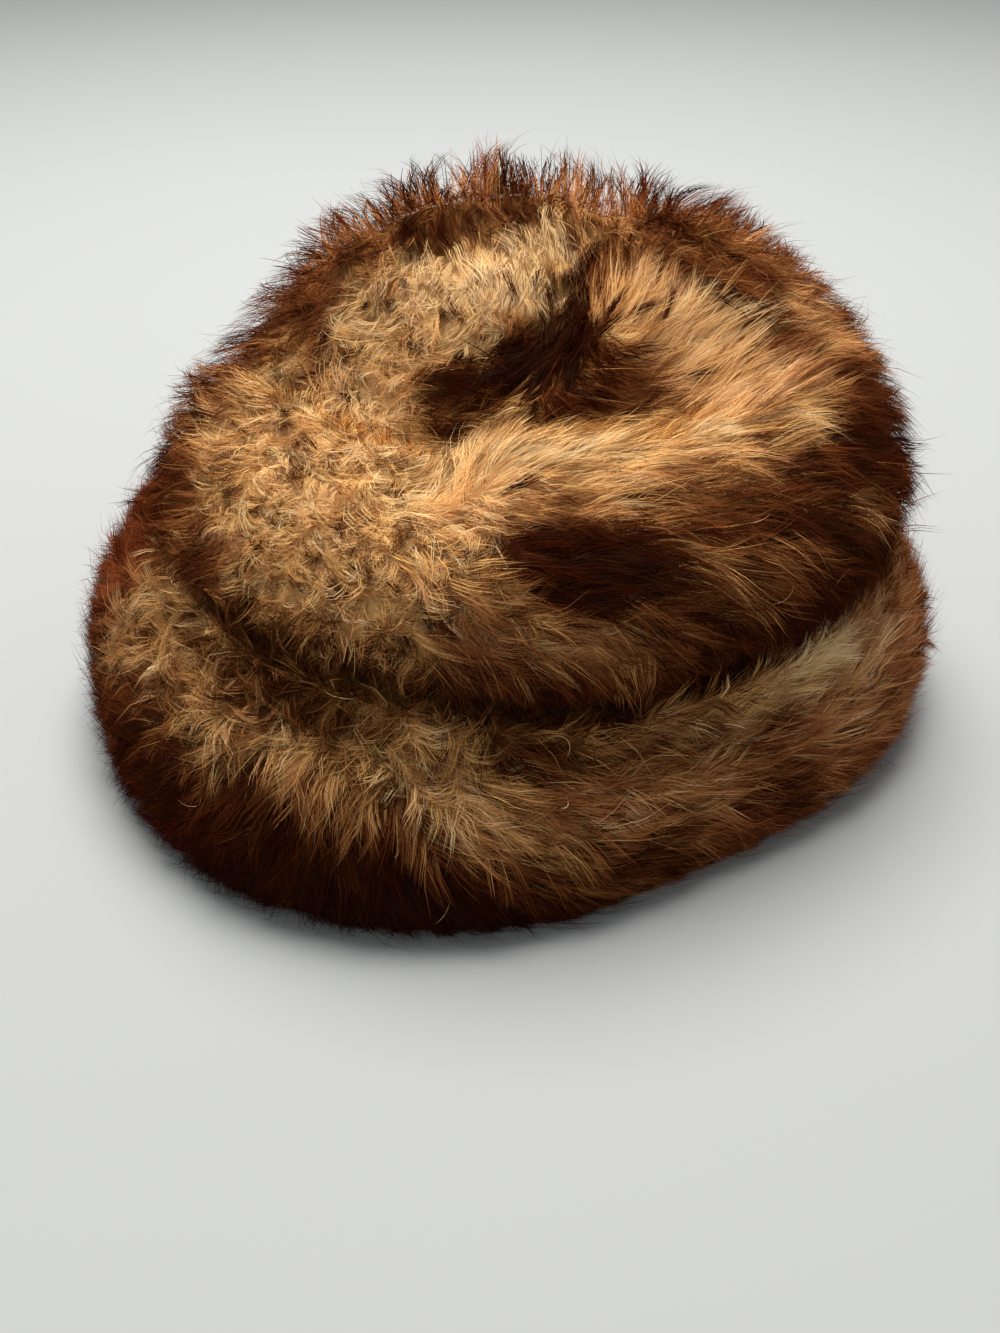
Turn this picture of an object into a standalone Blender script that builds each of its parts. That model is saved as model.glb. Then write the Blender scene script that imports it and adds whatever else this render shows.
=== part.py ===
"""Fur hat: a domed crown of two sheepskin panels, pushed in along a cross fold,
inside a wide turned-up fur cuff. Metres, +Z up, resting on z = 0."""
import math

import bpy
import numpy as np

for old in list(bpy.data.objects):
    bpy.data.objects.remove(old, do_unlink=True)

MM = 0.001

# plan oval that every level is a share of, in millimetres
LONG_RADIUS = 126.5
WIDE_RADIUS = 110.0
SQUARENESS = 2.2

# the fold and the low side of the crown are laid out along two plan directions
FRONT_TURN = math.radians(61.8)   # the low side faces this way, turned from -Y towards +X
PLAN_MIDDLE = (0.137, -6.081)     # middle of the finished outline, moved to the origin
CROWN_SHIFT = (3.8, 1.0)          # the dome sits a little off the cuff's middle

FUR_DEPTH = 5.0                   # from the tips of the locks to the roots' surface
FUR_ROUGH = 1.6                   # how much one lock stands out more than the next
LOCK_SHUFFLE = 0.2                # how far a lock's corners stray, as a share of its size
CUFF_BOW = 0.10                   # sideways bow of the cuff's locks, in radians
PANEL_GAP = 0.6                   # between the crown's two panels
HEAD_SHARE = 0.78                 # the head hollow as a share of the plan oval
CROWN_DROP = 18.0                 # thickness of skin and fur under the crown's top

# crown levels. crest: share of the cuff's crest height added to the rise.
# reach is a share of the plan oval, rise is in millimetres, far and low side
CROWN_LEVELS = [
    # name, crest, far reach, far rise, low reach, low rise
    ("edge", 0.0, 0.8825, 3.7, 0.8825, 3.7),
    ("hidden", 0.5, 0.8825, 0, 0.8825, 0),
    ("below crest", 1.0, 0.8800, -9.3, 0.8800, -9.3),
    ("over crest", 1.0, 0.896, 5, 0.900, 4),
    ("belly", 0.5, 0.915, 46.5, 0.945, 42),
    ("shoulder", 0.0, 0.880, 104, 0.915, 84),
    ("upper", 0.0, 0.790, 129, 0.800, 99.5),
    ("rim", 0.0, 0.570, 152.5, 0.590, 110.7),
    ("top", 0.0, 0.300, 139.5, 0.320, 115.3),
    ("middle", 0.0, 0.000, 120.9, 0.000, 120.9),
]

# cuff section, from the inside of the crest over the outside to the floor
CUFF_LEVELS = [
    # name, crest, reach, rise, outward flare share, fur
    ("inside crest", 1.0, 0.914, -3.7, 0.0, 0.0),
    ("crest", 1.0, 0.955, 0, 0.0, 0.5),
    ("upper face", 1.0, 1.000, -9.3, 0.1, 1.0),
    ("middle face", 0.78, 1.030, -3.7, 0.3, 1.0),
    ("belly", 0.5, 1.045, 0, 0.6, 1.0),
    ("low face", 0.2, 1.020, 0.9, 0.9, 1.0),
    ("foot", 0.0, 0.985, 0, 1.0, 0.0),
]
CUFF_INSIDE = 0.8865              # reach of the cuff's inner wall
CUFF_FLARE = 0.16                 # how far the foot spreads at its widest
FLARE_TURN = math.radians(25.0)   # where it spreads most

# round the cuff, from -Y towards +X
ROUND = [
    # turn, reach, crest height, crown rim rise
    (0, -0.025, 70, -2), (30, -0.015, 64, 0), (60, -0.010, 53, 0), (90, -0.040, 49, 0),
    (120, -0.015, 53, -1), (150, -0.010, 57, -2), (180, -0.010, 60, -5), (210, 0.000, 61, -7),
    (240, 0.010, 62, -1), (270, 0.015, 64, 0), (300, 0.015, 67, -3), (330, 0.000, 70, -3),
]

# the crown is pushed in along these lines, in millimetres, seen from the low
# side: right, towards the low side, depth
CROSS_FOLD = [
    # right, towards, depth
    (-116, -37, 1), (-93, -9, 5), (-71, 16, 12), (-48, 29, 18), (-26, 33.5, 21),
    (0, 31.5, 22), (33, 29, 19.5), (63, 19.5, 12), (89, 5.5, 4), (112, -9, 0),
]
FRONT_SEAM = [
    # towards, right, depth
    (26, -30, 0), (41, -27, 8.5), (60, -26, 8.5), (80, -27, 5.5), (99, -24, 2), (121, -22, 0),
]
BACK_SEAM = [
    # towards, right, depth
    (-102, 28, 0), (-65, 26, 1.5), (-45, 23, 3), (-24, 15, 4.5), (-2, 2, 6.5),
    (17, -15, 4.5), (32, -26, 0),
]

FOLD_WIDTHS = (12.0, 27.0)        # of the cross fold, on its low and its far side
SEAM_WIDTH = 10.5
SKIN_FOLD = 0.62                  # the skin inside follows the folds this much

# where the two panels meet, a row for each crown level
SEAM_TURNS = [
    # front turn, back turn
    (48, 224), (48, 224), (48, 224), (48, 224), (48, 224),
    (45, 223), (39, 218), (31, 213), (24, 207), (20, 200),
]

PANEL_ACROSS = 17                 # locks from the seam to the side
PANEL_ALONG = 34                  # locks from front to back
CUFF_AROUND = 68
CUFF_DOWN = 11


def ease(value, low, high):
    """0 below low, 1 above high, with a soft start and stop."""
    t = np.clip((value - low) / (high - low), 0.0, 1.0)
    return t * t * (3.0 - 2.0 * t)


def curve(p0, p1, p2, p3, t):
    """A smooth curve from p1 to p2 that leans on the rows either side."""
    return 0.5 * (2 * p1 + (p2 - p0) * t + (2 * p0 - 5 * p1 + 4 * p2 - p3) * t ** 2
                  + (3 * p1 - p0 - 3 * p2 + p3) * t ** 3)


def along_rows(rows, share):
    """Values a share of the way down a table whose rows are evenly spaced."""
    rows = np.array(rows, float)
    if rows.ndim == 1:
        rows = rows[:, None]
    padded = np.vstack([2 * rows[0] - rows[1], rows, 2 * rows[-1] - rows[-2]])
    place = np.clip(share, 0.0, 1.0) * (len(rows) - 1)
    row = np.minimum(place.astype(int), len(rows) - 2)
    t = (place - row)[..., None]
    return curve(padded[row], padded[row + 1], padded[row + 2], padded[row + 3], t)


def around_rows(column, turn):
    """A column of ROUND at any turn."""
    values = np.array([row[column] for row in ROUND], float)
    count = len(values)
    place = np.mod(turn / (2 * math.pi) * count, count)
    row = place.astype(int) % count
    return curve(values[(row - 1) % count], values[row], values[(row + 1) % count],
                 values[(row + 2) % count], place - np.floor(place))


def plan_oval(turn):
    """Radius of the plan oval, a rounded rectangle between circle and box."""
    wide = np.abs(np.sin(turn)) / WIDE_RADIUS
    long = np.abs(np.cos(turn)) / LONG_RADIUS
    return (wide ** SQUARENESS + long ** SQUARENESS) ** (-1.0 / SQUARENESS)


def to_view(x, y):
    """Plan place as right and towards, seen from the low side."""
    c, s = math.cos(FRONT_TURN), math.sin(FRONT_TURN)
    return x * c + y * s, x * s - y * c


def valley(along, across, rows, near_width, far_width):
    """Depth of a fold: a bell across a line that the table draws."""
    rows = np.array(rows, float)
    line = np.interp(along, rows[:, 0], rows[:, 1])
    depth = np.interp(along, rows[:, 0], rows[:, 2])
    for step in (-6.0, 6.0):
        line = line + np.interp(along + step, rows[:, 0], rows[:, 1])
        depth = depth + np.interp(along + step, rows[:, 0], rows[:, 2])
    off = across - line / 3.0
    side = ease(off, -8.0, 8.0)
    width = near_width * side + far_width * (1.0 - side)
    return depth / 3.0 * np.exp(-(off / width) ** 2)


def push_in(x, y):
    """How far the folds and seams lower the crown at a plan place."""
    right, towards = to_view(x, y)
    cross = valley(right, towards, CROSS_FOLD, *FOLD_WIDTHS)
    front = valley(towards, right, FRONT_SEAM, SEAM_WIDTH, SEAM_WIDTH)
    back = valley(towards, right, BACK_SEAM, SEAM_WIDTH, SEAM_WIDTH)
    return cross + np.maximum(front, back)


def crown_surface(turn, share, inner=0.0):
    """Crown at a turn and a share of the way up: 0 the edge, 1 the middle.
    inner 0 is the tips of the fur, 1 the skin inside."""
    crest = around_rows(2, turn)
    crest_part = along_rows([row[1] for row in CROWN_LEVELS], share)[..., 0]
    far = along_rows([row[2:4] for row in CROWN_LEVELS], share)
    low = along_rows([row[4:6] for row in CROWN_LEVELS], share)
    facing = 0.5 + 0.5 * np.cos(turn - FRONT_TURN)
    mix = ease(facing, 0.08, 0.92)[..., None]
    reach, rise = np.moveaxis(far * (1.0 - mix) + low * mix, -1, 0)
    reach = reach * (1.0 - inner * (1.0 - HEAD_SHARE / CROWN_LEVELS[0][2]))
    z = rise + crest_part * crest
    z = z + around_rows(3, turn) * ease(share, 0.45, 0.7) * ease(1.0 - share, 0.0, 0.25)
    shift = ease(z, 56.0, 93.0)
    radius = plan_oval(turn) * reach
    x = radius * np.sin(turn) + CROWN_SHIFT[0] * shift
    y = -radius * np.cos(turn) + CROWN_SHIFT[1] * shift
    fold = push_in(x, y) * (1.0 - inner * (1.0 - SKIN_FOLD))
    z = z - fold * ease(z, 78.0, 104.0) - inner * CROWN_DROP * ease(z, 56.0, 108.0)
    return np.stack([x, y, z], -1)


def cuff_surface(turn, share):
    """Outside of the cuff at a turn: share 0 inside the crest, 1 the foot."""
    table = along_rows([row[1:5] for row in CUFF_LEVELS], share)
    crest_part, reach, rise, flare_part = np.moveaxis(table, -1, 0)
    flare = CUFF_FLARE * (0.5 + 0.5 * np.cos(turn - FLARE_TURN)) * flare_part
    outside = ease(reach, CUFF_INSIDE + 0.015, 0.96)
    spread = 1.0 + around_rows(1, turn) * outside + flare
    radius = plan_oval(turn) * reach * spread
    z = np.maximum(rise + crest_part * around_rows(2, turn), 0.0)
    return np.stack([radius * np.sin(turn), -radius * np.cos(turn), z], -1)


def grid_normals(points):
    """Unit normals of a grid of points, from its two directions."""
    normal = np.cross(np.gradient(points, axis=0), np.gradient(points, axis=1))
    return normal / np.maximum(np.linalg.norm(normal, axis=-1, keepdims=True), 1e-9)


def lock_noise(shape, kind=0.0):
    """A repeatable uneven value from -1 to 1 for each lock."""
    row, column = np.indices(shape)
    value = np.sin(row * 12.9898 + column * 78.233 + kind * 37.719) * 43758.5453
    return 2.0 * (value - np.floor(value)) - 1.0


def lock_tips(points, normals, lean, fur):
    """One tip for each cell: its middle, raised and pushed along the lean."""
    def middle(grid):
        return (grid[:-1, :-1] + grid[1:, :-1] + grid[:-1, 1:] + grid[1:, 1:]) / 4.0
    centre, normal = middle(points), middle(normals)
    side = np.linalg.norm(points[1:, :-1] - points[:-1, :-1], axis=-1)
    down = np.linalg.norm(points[:-1, 1:] - points[:-1, :-1], axis=-1)
    cell = np.minimum(side, down)[..., None]
    along = lean - (lean * normal).sum(-1, keepdims=True) * normal
    along = along / np.maximum(np.linalg.norm(along, axis=-1, keepdims=True), 1e-9)
    rough = FUR_ROUGH * lock_noise(centre.shape[:2])[..., None]
    return centre + fur[..., None] * (normal * (0.8 + rough) + along * cell * 0.36)


def add_mesh(name, vertices, faces, colour, roughness):
    """One named object with one material, from millimetres."""
    mesh = bpy.data.meshes.new(name)
    placed = (np.array(vertices) - np.array([*PLAN_MIDDLE, 0.0])) * MM
    mesh.from_pydata(placed.tolist(), [], faces)
    mesh.validate()
    material = bpy.data.materials.new(name + "_fur")
    material.use_nodes = True
    shader = material.node_tree.nodes["Principled BSDF"]
    shader.inputs["Base Color"].default_value = (*colour, 1.0)
    shader.inputs["Roughness"].default_value = roughness
    mesh.materials.append(material)
    thing = bpy.data.objects.new(name, mesh)
    bpy.context.scene.collection.objects.link(thing)
    return thing


def cell_faces(ids, tips, flip):
    """A cell is four faces up to its lock's tip, or one where it has none."""
    faces = []
    for row in range(ids.shape[0] - 1):
        for column in range(ids.shape[1] - 1):
            corners = [ids[row, column], ids[row + 1, column],
                       ids[row + 1, column + 1], ids[row, column + 1]]
            if flip:
                corners.reverse()
            tip = tips[row, column] if tips is not None else -1
            if tip < 0:
                faces.append([int(c) for c in corners])
            else:
                faces += [[int(corners[k]), int(corners[(k + 1) % 4]), int(tip)] for k in range(4)]
    return faces


def border(ids):
    """Vertex numbers round the edge of a grid, in order."""
    return (list(ids[:, 0]) + list(ids[-1, 1:]) + list(ids[-2::-1, -1]) + list(ids[0, -2:0:-1]))


def crown_layout(across, along):
    """The crown laid out as a square: across 0 is the seam, 1 and -1 the sides."""
    u = across * np.sqrt(1.0 - along ** 2 / 2.0)
    v = along * np.sqrt(1.0 - across ** 2 / 2.0)
    share = 1.0 - np.clip(np.hypot(u, v), 0.0, 1.0)
    angle = np.abs(np.arctan2(u, v)) / math.pi
    turns = np.radians(along_rows(SEAM_TURNS, share))
    front, back = turns[..., 0], turns[..., 1]
    right = front + angle * (back - front)
    left = front - angle * (2 * math.pi - back + front)
    return share, np.where(u >= 0, right, left)


def crown_panel(name, side, colour):
    """Half of the crown, from the seam to its edge, as fur on a skin."""
    across = np.arange(-1, PANEL_ACROSS + 1)[:, None] / PANEL_ACROSS * side
    along = np.linspace(-1.0, 1.0, PANEL_ALONG + 1)[None, :]
    shape = (PANEL_ACROSS + 2, PANEL_ALONG + 1)
    # corners stray a little, except at the edges and beside the seam
    stray = np.zeros(shape)
    stray[3:-1, 1:-1] = LOCK_SHUFFLE
    across = across + stray * lock_noise(shape, 1.0) / PANEL_ACROSS
    along = along + stray * lock_noise(shape, 2.0) * 2.0 / PANEL_ALONG
    share, turn = crown_layout(across, along)
    tips_surface = crown_surface(turn, share)
    # the first row lies across the seam, so both panels find the same normals there
    normal = grid_normals(tips_surface)[1:] * side * -1.0
    share, turn, tips_surface = share[1:], turn[1:], tips_surface[1:]
    fur = ease(share, 0.34, 0.48)
    seam_push = np.array([math.cos(FRONT_TURN - 0.25), math.sin(FRONT_TURN - 0.25), 0.0])
    push = seam_push * side * PANEL_GAP * 0.5
    outer = tips_surface - normal * (FUR_DEPTH * fur)[..., None] + push
    inner = crown_surface(turn, share, inner=1.0) + push

    cell_share = (share[:-1, :-1] + share[1:, 1:]) / 2.0
    towards = np.array([math.sin(FRONT_TURN), -math.cos(FRONT_TURN), -0.35])
    middle = (tips_surface[:-1, :-1] + tips_surface[1:, 1:]) / 2.0
    outward = middle * np.array([1.0, 1.0, 0.0]) / 60.0 + np.array([0.0, 0.0, -2.0])
    steep = ease(1.0 - cell_share, 0.35, 0.6)[..., None]
    lean = towards * (1.0 - steep) + outward * steep
    # locks beside the seam lean off it, away from the other panel
    beside = np.zeros(cell_share.shape + (1,))
    beside[0] = 1.0
    lean = lean + beside * side * seam_push * 1.6
    tips = lock_tips(tips_surface, normal, lean, ease(cell_share, 0.36, 0.46)) + push
    has_tip = cell_share > 0.38

    vertices = [outer.reshape(-1, 3), inner.reshape(-1, 3), tips[has_tip]]
    size = outer.shape[0] * outer.shape[1]
    outer_ids = np.arange(size).reshape(outer.shape[:2])
    inner_ids = outer_ids + size
    tip_ids = np.full(has_tip.shape, -1)
    tip_ids[has_tip] = 2 * size + np.arange(has_tip.sum())
    flip = side > 0
    faces = cell_faces(outer_ids, tip_ids, flip) + cell_faces(inner_ids, None, not flip)
    ring_out, ring_in = border(outer_ids), border(inner_ids)
    for k in range(len(ring_out)):
        n = (k + 1) % len(ring_out)
        for triple in ((ring_out[k], ring_out[n], ring_in[k]), (ring_out[n], ring_in[n], ring_in[k])):
            faces.append([int(i) for i in (triple if flip else triple[::-1])])
    return add_mesh(name, np.vstack(vertices), faces, colour, 0.85)


def cuff_band(name, colour):
    """The turned-up band: fur outside, a plain inner wall and a flat foot."""
    turn = np.linspace(0.0, 2 * math.pi, CUFF_AROUND, endpoint=False)[:, None]
    share = np.linspace(0.0, 1.0, CUFF_DOWN + 1)[None, :] + 0 * turn
    stray = np.zeros(share.shape)
    stray[:, 1:-1] = LOCK_SHUFFLE
    bow = CUFF_BOW * np.sin(math.pi * share)
    turns = turn + bow + stray * lock_noise(share.shape, 3.0) * 2 * math.pi / CUFF_AROUND
    share = share + stray * lock_noise(share.shape, 4.0) / CUFF_DOWN
    whole = cuff_surface(turns, share)
    wrapped = np.concatenate([whole[-1:], whole, whole[:2]])
    normal = grid_normals(wrapped)[1:-1]
    whole = wrapped[1:-1]
    fur = np.clip(along_rows([row[5] for row in CUFF_LEVELS], share)[..., 0], 0.0, 1.0)
    fur = np.concatenate([fur, fur[:1]])
    outer = whole - normal * (FUR_DEPTH * fur)[..., None]
    outer[..., 2] = np.maximum(outer[..., 2], 1.0)
    outer[:, -1, 2] = 0.0

    fur_cell = (fur[:-1, :-1] + fur[1:, 1:]) / 2.0
    middle = (whole[:-1, :-1] + whole[1:, 1:]) / 2.0
    lean = np.cross(np.array([0.0, 0.0, 1.0]), middle) / 240.0 + np.array([0.0, 0.0, -1.0])
    tips = lock_tips(whole, normal, lean, fur_cell)
    tips[..., 2] = np.maximum(tips[..., 2], 1.5)
    outer = outer[:-1]

    oval = plan_oval(turn)
    crest = around_rows(2, turn)
    rows = []
    for part in (0.0, 0.33, 0.66, 0.94):
        radius = oval * (CUFF_INSIDE + 0.004 * part)
        rows.append(np.stack([radius * np.sin(turn), -radius * np.cos(turn),
                              (crest - 8.0) * part + 0 * turn], -1))
    inner = np.concatenate(rows, axis=1)

    size_out, size_in = outer.shape[1], inner.shape[1]
    count = CUFF_AROUND
    outer_ids = np.arange(count * size_out).reshape(count, size_out)
    inner_ids = np.arange(count * size_in).reshape(count, size_in) + outer_ids.size
    tip_ids = (np.arange(tips.shape[0] * tips.shape[1]) + outer_ids.size + inner_ids.size)
    tip_ids = tip_ids.reshape(tips.shape[:2])
    loop_ids = np.concatenate([outer_ids, inner_ids, outer_ids[:, :1]], axis=1)
    loop_ids = np.concatenate([loop_ids, loop_ids[:1]], axis=0)
    tip_grid = np.full((count, loop_ids.shape[1] - 1), -1)
    tip_grid[:, :tips.shape[1]] = tip_ids
    faces = cell_faces(loop_ids, tip_grid, True)
    vertices = np.vstack([outer.reshape(-1, 3), inner.reshape(-1, 3), tips.reshape(-1, 3)])
    return add_mesh(name, vertices, faces, colour, 0.85)


hat = bpy.data.objects.new("hat", None)
bpy.context.scene.collection.objects.link(hat)
for piece in (crown_panel("crown_left_panel", -1, (0.42, 0.25, 0.12)),
              crown_panel("crown_right_panel", 1, (0.36, 0.20, 0.09)),
              cuff_band("cuff", (0.24, 0.12, 0.05))):
    piece.parent = hat
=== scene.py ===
import math

import bpy
import numpy as np
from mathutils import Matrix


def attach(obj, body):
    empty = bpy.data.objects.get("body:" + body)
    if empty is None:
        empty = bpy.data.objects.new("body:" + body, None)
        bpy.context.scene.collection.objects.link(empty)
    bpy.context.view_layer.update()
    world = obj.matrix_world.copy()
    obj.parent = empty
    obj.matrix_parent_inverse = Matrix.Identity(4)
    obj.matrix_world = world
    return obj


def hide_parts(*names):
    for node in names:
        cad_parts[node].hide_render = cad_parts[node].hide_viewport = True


# fur hat: two crown panels pushed in along a cross fold, in a wide turned-up cuff.
# Shapes are worked out in millimetres, and scaled when they become a mesh.

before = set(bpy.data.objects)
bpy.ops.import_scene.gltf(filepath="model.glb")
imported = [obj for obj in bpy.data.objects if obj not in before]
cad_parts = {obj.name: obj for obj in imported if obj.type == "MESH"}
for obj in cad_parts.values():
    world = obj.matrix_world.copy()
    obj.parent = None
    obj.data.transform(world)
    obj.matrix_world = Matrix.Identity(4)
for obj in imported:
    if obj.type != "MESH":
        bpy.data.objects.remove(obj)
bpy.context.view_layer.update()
milli = 0.001
print("frame loaded")

# the part's own surfaces, with the same sizes as its solids
oval = {"long": 126.5, "wide": 110.0, "squareness": 2.2}
frontTurn = math.radians(61.8)      # the low side faces this way, from -Y towards +X
planMiddle = (0.137, -6.081)        # middle of the outline, moved to the origin
crownShift = (3.8, 1.0)
headShare = 0.78
crownDrop = 18.0
skinFold = 0.62
foldWidths = (12.0, 27.0)
seamWidth = 10.5
panelGap = 0.6
cuffInside = 0.8865
cuffFlare = 0.16
flareTurn = math.radians(25.0)

crownLevels = [
    # crest, far reach, far rise, low reach, low rise
    (0.0, 0.8825, 3.7, 0.8825, 3.7),
    (0.5, 0.8825, 0, 0.8825, 0),
    (1.0, 0.8800, -9.3, 0.8800, -9.3),
    (1.0, 0.896, 5, 0.900, 4),
    (0.5, 0.915, 46.5, 0.945, 42),
    (0.0, 0.880, 104, 0.915, 84),
    (0.0, 0.790, 129, 0.800, 99.5),
    (0.0, 0.570, 152.5, 0.590, 110.7),
    (0.0, 0.300, 139.5, 0.320, 115.3),
    (0.0, 0.000, 120.9, 0.000, 120.9),
]
cuffLevels = [
    # crest, reach, rise, outward flare share, fur
    (1.0, 0.914, -3.7, 0.0, 0.0),
    (1.0, 0.955, 0, 0.0, 0.5),
    (1.0, 1.000, -9.3, 0.1, 1.0),
    (0.78, 1.030, -3.7, 0.3, 1.0),
    (0.5, 1.045, 0, 0.6, 1.0),
    (0.2, 1.020, 0.9, 0.9, 1.0),
    (0.0, 0.985, 0, 1.0, 0.0),
]
roundRows = [
    # turn, reach, crest height, crown rim rise
    (0, -0.025, 70, -2), (30, -0.015, 64, 0), (60, -0.010, 53, 0), (90, -0.040, 49, 0),
    (120, -0.015, 53, -1), (150, -0.010, 57, -2), (180, -0.010, 60, -5), (210, 0.000, 61, -7),
    (240, 0.010, 62, -1), (270, 0.015, 64, 0), (300, 0.015, 67, -3), (330, 0.000, 70, -3),
]
crossFold = [
    # right, towards, depth
    (-116, -37, 1), (-93, -9, 5), (-71, 16, 12), (-48, 29, 18), (-26, 33.5, 21),
    (0, 31.5, 22), (33, 29, 19.5), (63, 19.5, 12), (89, 5.5, 4), (112, -9, 0),
]
frontSeam = [
    # towards, right, depth
    (26, -30, 0), (41, -27, 8.5), (60, -26, 8.5), (80, -27, 5.5), (99, -24, 2), (121, -22, 0),
]
backSeam = [
    # towards, right, depth
    (-102, 28, 0), (-65, 26, 1.5), (-45, 23, 3), (-24, 15, 4.5), (-2, 2, 6.5),
    (17, -15, 4.5), (32, -26, 0),
]
seamTurns = [
    # front turn, back turn, a row for each crown level
    (48, 224), (48, 224), (48, 224), (48, 224), (48, 224),
    (45, 223), (39, 218), (31, 213), (24, 207), (20, 200),
]


def ease(value, low, high):
    # 0 below low, 1 above high, with a soft start and stop
    t = np.clip((value - low) / (high - low), 0.0, 1.0)
    return t * t * (3.0 - 2.0 * t)


def curve(p0, p1, p2, p3, t):
    # smooth cubic from p1 to p2 that leans on the rows either side
    return 0.5 * (2 * p1 + (p2 - p0) * t + (2 * p0 - 5 * p1 + 4 * p2 - p3) * t ** 2
                  + (3 * p1 - p0 - 3 * p2 + p3) * t ** 3)


def alongRows(rows, share):
    # values a share of the way down a table whose rows are evenly spaced
    rows = np.array(rows, float)
    padded = np.vstack([2 * rows[0] - rows[1], rows, 2 * rows[-1] - rows[-2]])
    place = np.clip(share, 0.0, 1.0) * (len(rows) - 1)
    row = np.minimum(place.astype(int), len(rows) - 2)
    t = (place - row)[..., None]
    return curve(padded[row], padded[row + 1], padded[row + 2], padded[row + 3], t)


def aroundRows(column, turn):
    # a column of roundRows at any turn, closed on itself
    values = np.array([row[column] for row in roundRows], float)
    count = len(values)
    place = np.mod(turn / (2 * math.pi) * count, count)
    row = place.astype(int) % count
    return curve(values[(row - 1) % count], values[row], values[(row + 1) % count],
                 values[(row + 2) % count], place - np.floor(place))


def planOval(turn):
    # radius of a rounded rectangle between circle and box
    wide = np.abs(np.sin(turn)) / oval["wide"]
    long = np.abs(np.cos(turn)) / oval["long"]
    return (wide ** oval["squareness"] + long ** oval["squareness"]) ** (-1 / oval["squareness"])


def valley(along, across, rows, nearWidth, farWidth):
    # depth of a fold: a bell across a line that the table draws
    rows = np.array(rows, float)
    line = np.interp(along, rows[:, 0], rows[:, 1])
    depth = np.interp(along, rows[:, 0], rows[:, 2])
    for step in (-6.0, 6.0):
        line = line + np.interp(along + step, rows[:, 0], rows[:, 1])
        depth = depth + np.interp(along + step, rows[:, 0], rows[:, 2])
    off = across - line / 3.0
    side = ease(off, -8.0, 8.0)
    width = nearWidth * side + farWidth * (1.0 - side)
    return depth / 3.0 * np.exp(-(off / width) ** 2)


def pushIn(x, y):
    # how far the folds and seams lower the crown at a plan place
    c, s = math.cos(frontTurn), math.sin(frontTurn)
    right, towards = x * c + y * s, x * s - y * c
    cross = valley(right, towards, crossFold, *foldWidths)
    front = valley(towards, right, frontSeam, seamWidth, seamWidth)
    back = valley(towards, right, backSeam, seamWidth, seamWidth)
    return cross + np.maximum(front, back)


def placed(x, y, z):
    return np.stack([x - planMiddle[0], y - planMiddle[1], z], -1)


def crownSurface(turn, share, inner=0.0):
    # levels of the plan oval, from the edge at share 0 to the middle at 1, lowered
    # by the folds; inner 0 is the tips of the fur, 1 the skin inside
    crestPart = alongRows([row[:1] for row in crownLevels], share)[..., 0]
    far = alongRows([row[1:3] for row in crownLevels], share)
    low = alongRows([row[3:5] for row in crownLevels], share)
    mix = ease(0.5 + 0.5 * np.cos(turn - frontTurn), 0.08, 0.92)[..., None]
    reach, rise = np.moveaxis(far * (1.0 - mix) + low * mix, -1, 0)
    reach = reach * (1.0 - inner * (1.0 - headShare / crownLevels[0][1]))
    z = rise + crestPart * aroundRows(2, turn)
    z = z + aroundRows(3, turn) * ease(share, 0.45, 0.7) * ease(1.0 - share, 0.0, 0.25)
    shift = ease(z, 56.0, 93.0)
    radius = planOval(turn) * reach
    x = radius * np.sin(turn) + crownShift[0] * shift
    y = -radius * np.cos(turn) + crownShift[1] * shift
    fold = pushIn(x, y) * (1.0 - inner * (1.0 - skinFold))
    z = z - fold * ease(z, 78.0, 104.0) - inner * crownDrop * ease(z, 56.0, 108.0)
    return placed(x, y, z)


def cuffSurface(turn, share):
    # outside of the band: share 0 inside the crest, 1 the foot
    table = alongRows([row[:4] for row in cuffLevels], share)
    crestPart, reach, rise, flarePart = np.moveaxis(table, -1, 0)
    flare = cuffFlare * (0.5 + 0.5 * np.cos(turn - flareTurn)) * flarePart
    outside = ease(reach, cuffInside + 0.015, 0.96)
    radius = planOval(turn) * reach * (1.0 + aroundRows(1, turn) * outside + flare)
    z = np.maximum(rise + crestPart * aroundRows(2, turn), 0.0)
    return placed(radius * np.sin(turn), -radius * np.cos(turn), z)


def onDisc(right, towards):
    # turn and share of a place on the crown flattened to a disc: right and
    # towards the low side, 1 at its edge
    share = 1.0 - np.clip(np.hypot(right, towards), 0.0, 1.0)
    return np.arctan2(right, towards) + frontTurn, share


def crownPlace(right, towards):
    return crownSurface(*onDisc(right, towards))


def cuffPlace(turn, down):
    # the cuff by degrees from the middle of its low side, and share down
    return cuffSurface(np.radians(turn) + frontTurn, down)


def seamAt(share):
    # turns of the front and the back end of the seam at each level
    return np.moveaxis(np.radians(alongRows(seamTurns, share)), -1, 0)


def crownLayout(across, along):
    # a crown panel as a square: across 0 is the seam, 1 and -1 the sides
    u = across * np.sqrt(1.0 - along ** 2 / 2.0)
    v = along * np.sqrt(1.0 - across ** 2 / 2.0)
    share = 1.0 - np.clip(np.hypot(u, v), 0.0, 1.0)
    angle = np.abs(np.arctan2(u, v)) / math.pi
    front, back = seamAt(share)
    right = front + angle * (back - front)
    left = front - angle * (2 * math.pi - back + front)
    return share, np.where(u >= 0, right, left)


def panelSide(right, towards):
    # 1 on the right panel and -1 on the left: which way round the seam lies
    turn, share = onDisc(right, towards)
    front, back = seamAt(share)
    return np.where(np.mod(turn - front, 2 * math.pi) < back - front, 1, -1)


def unit(vectors):
    return vectors / np.maximum(np.linalg.norm(vectors, axis=-1, keepdims=True), 1e-9)


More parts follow.
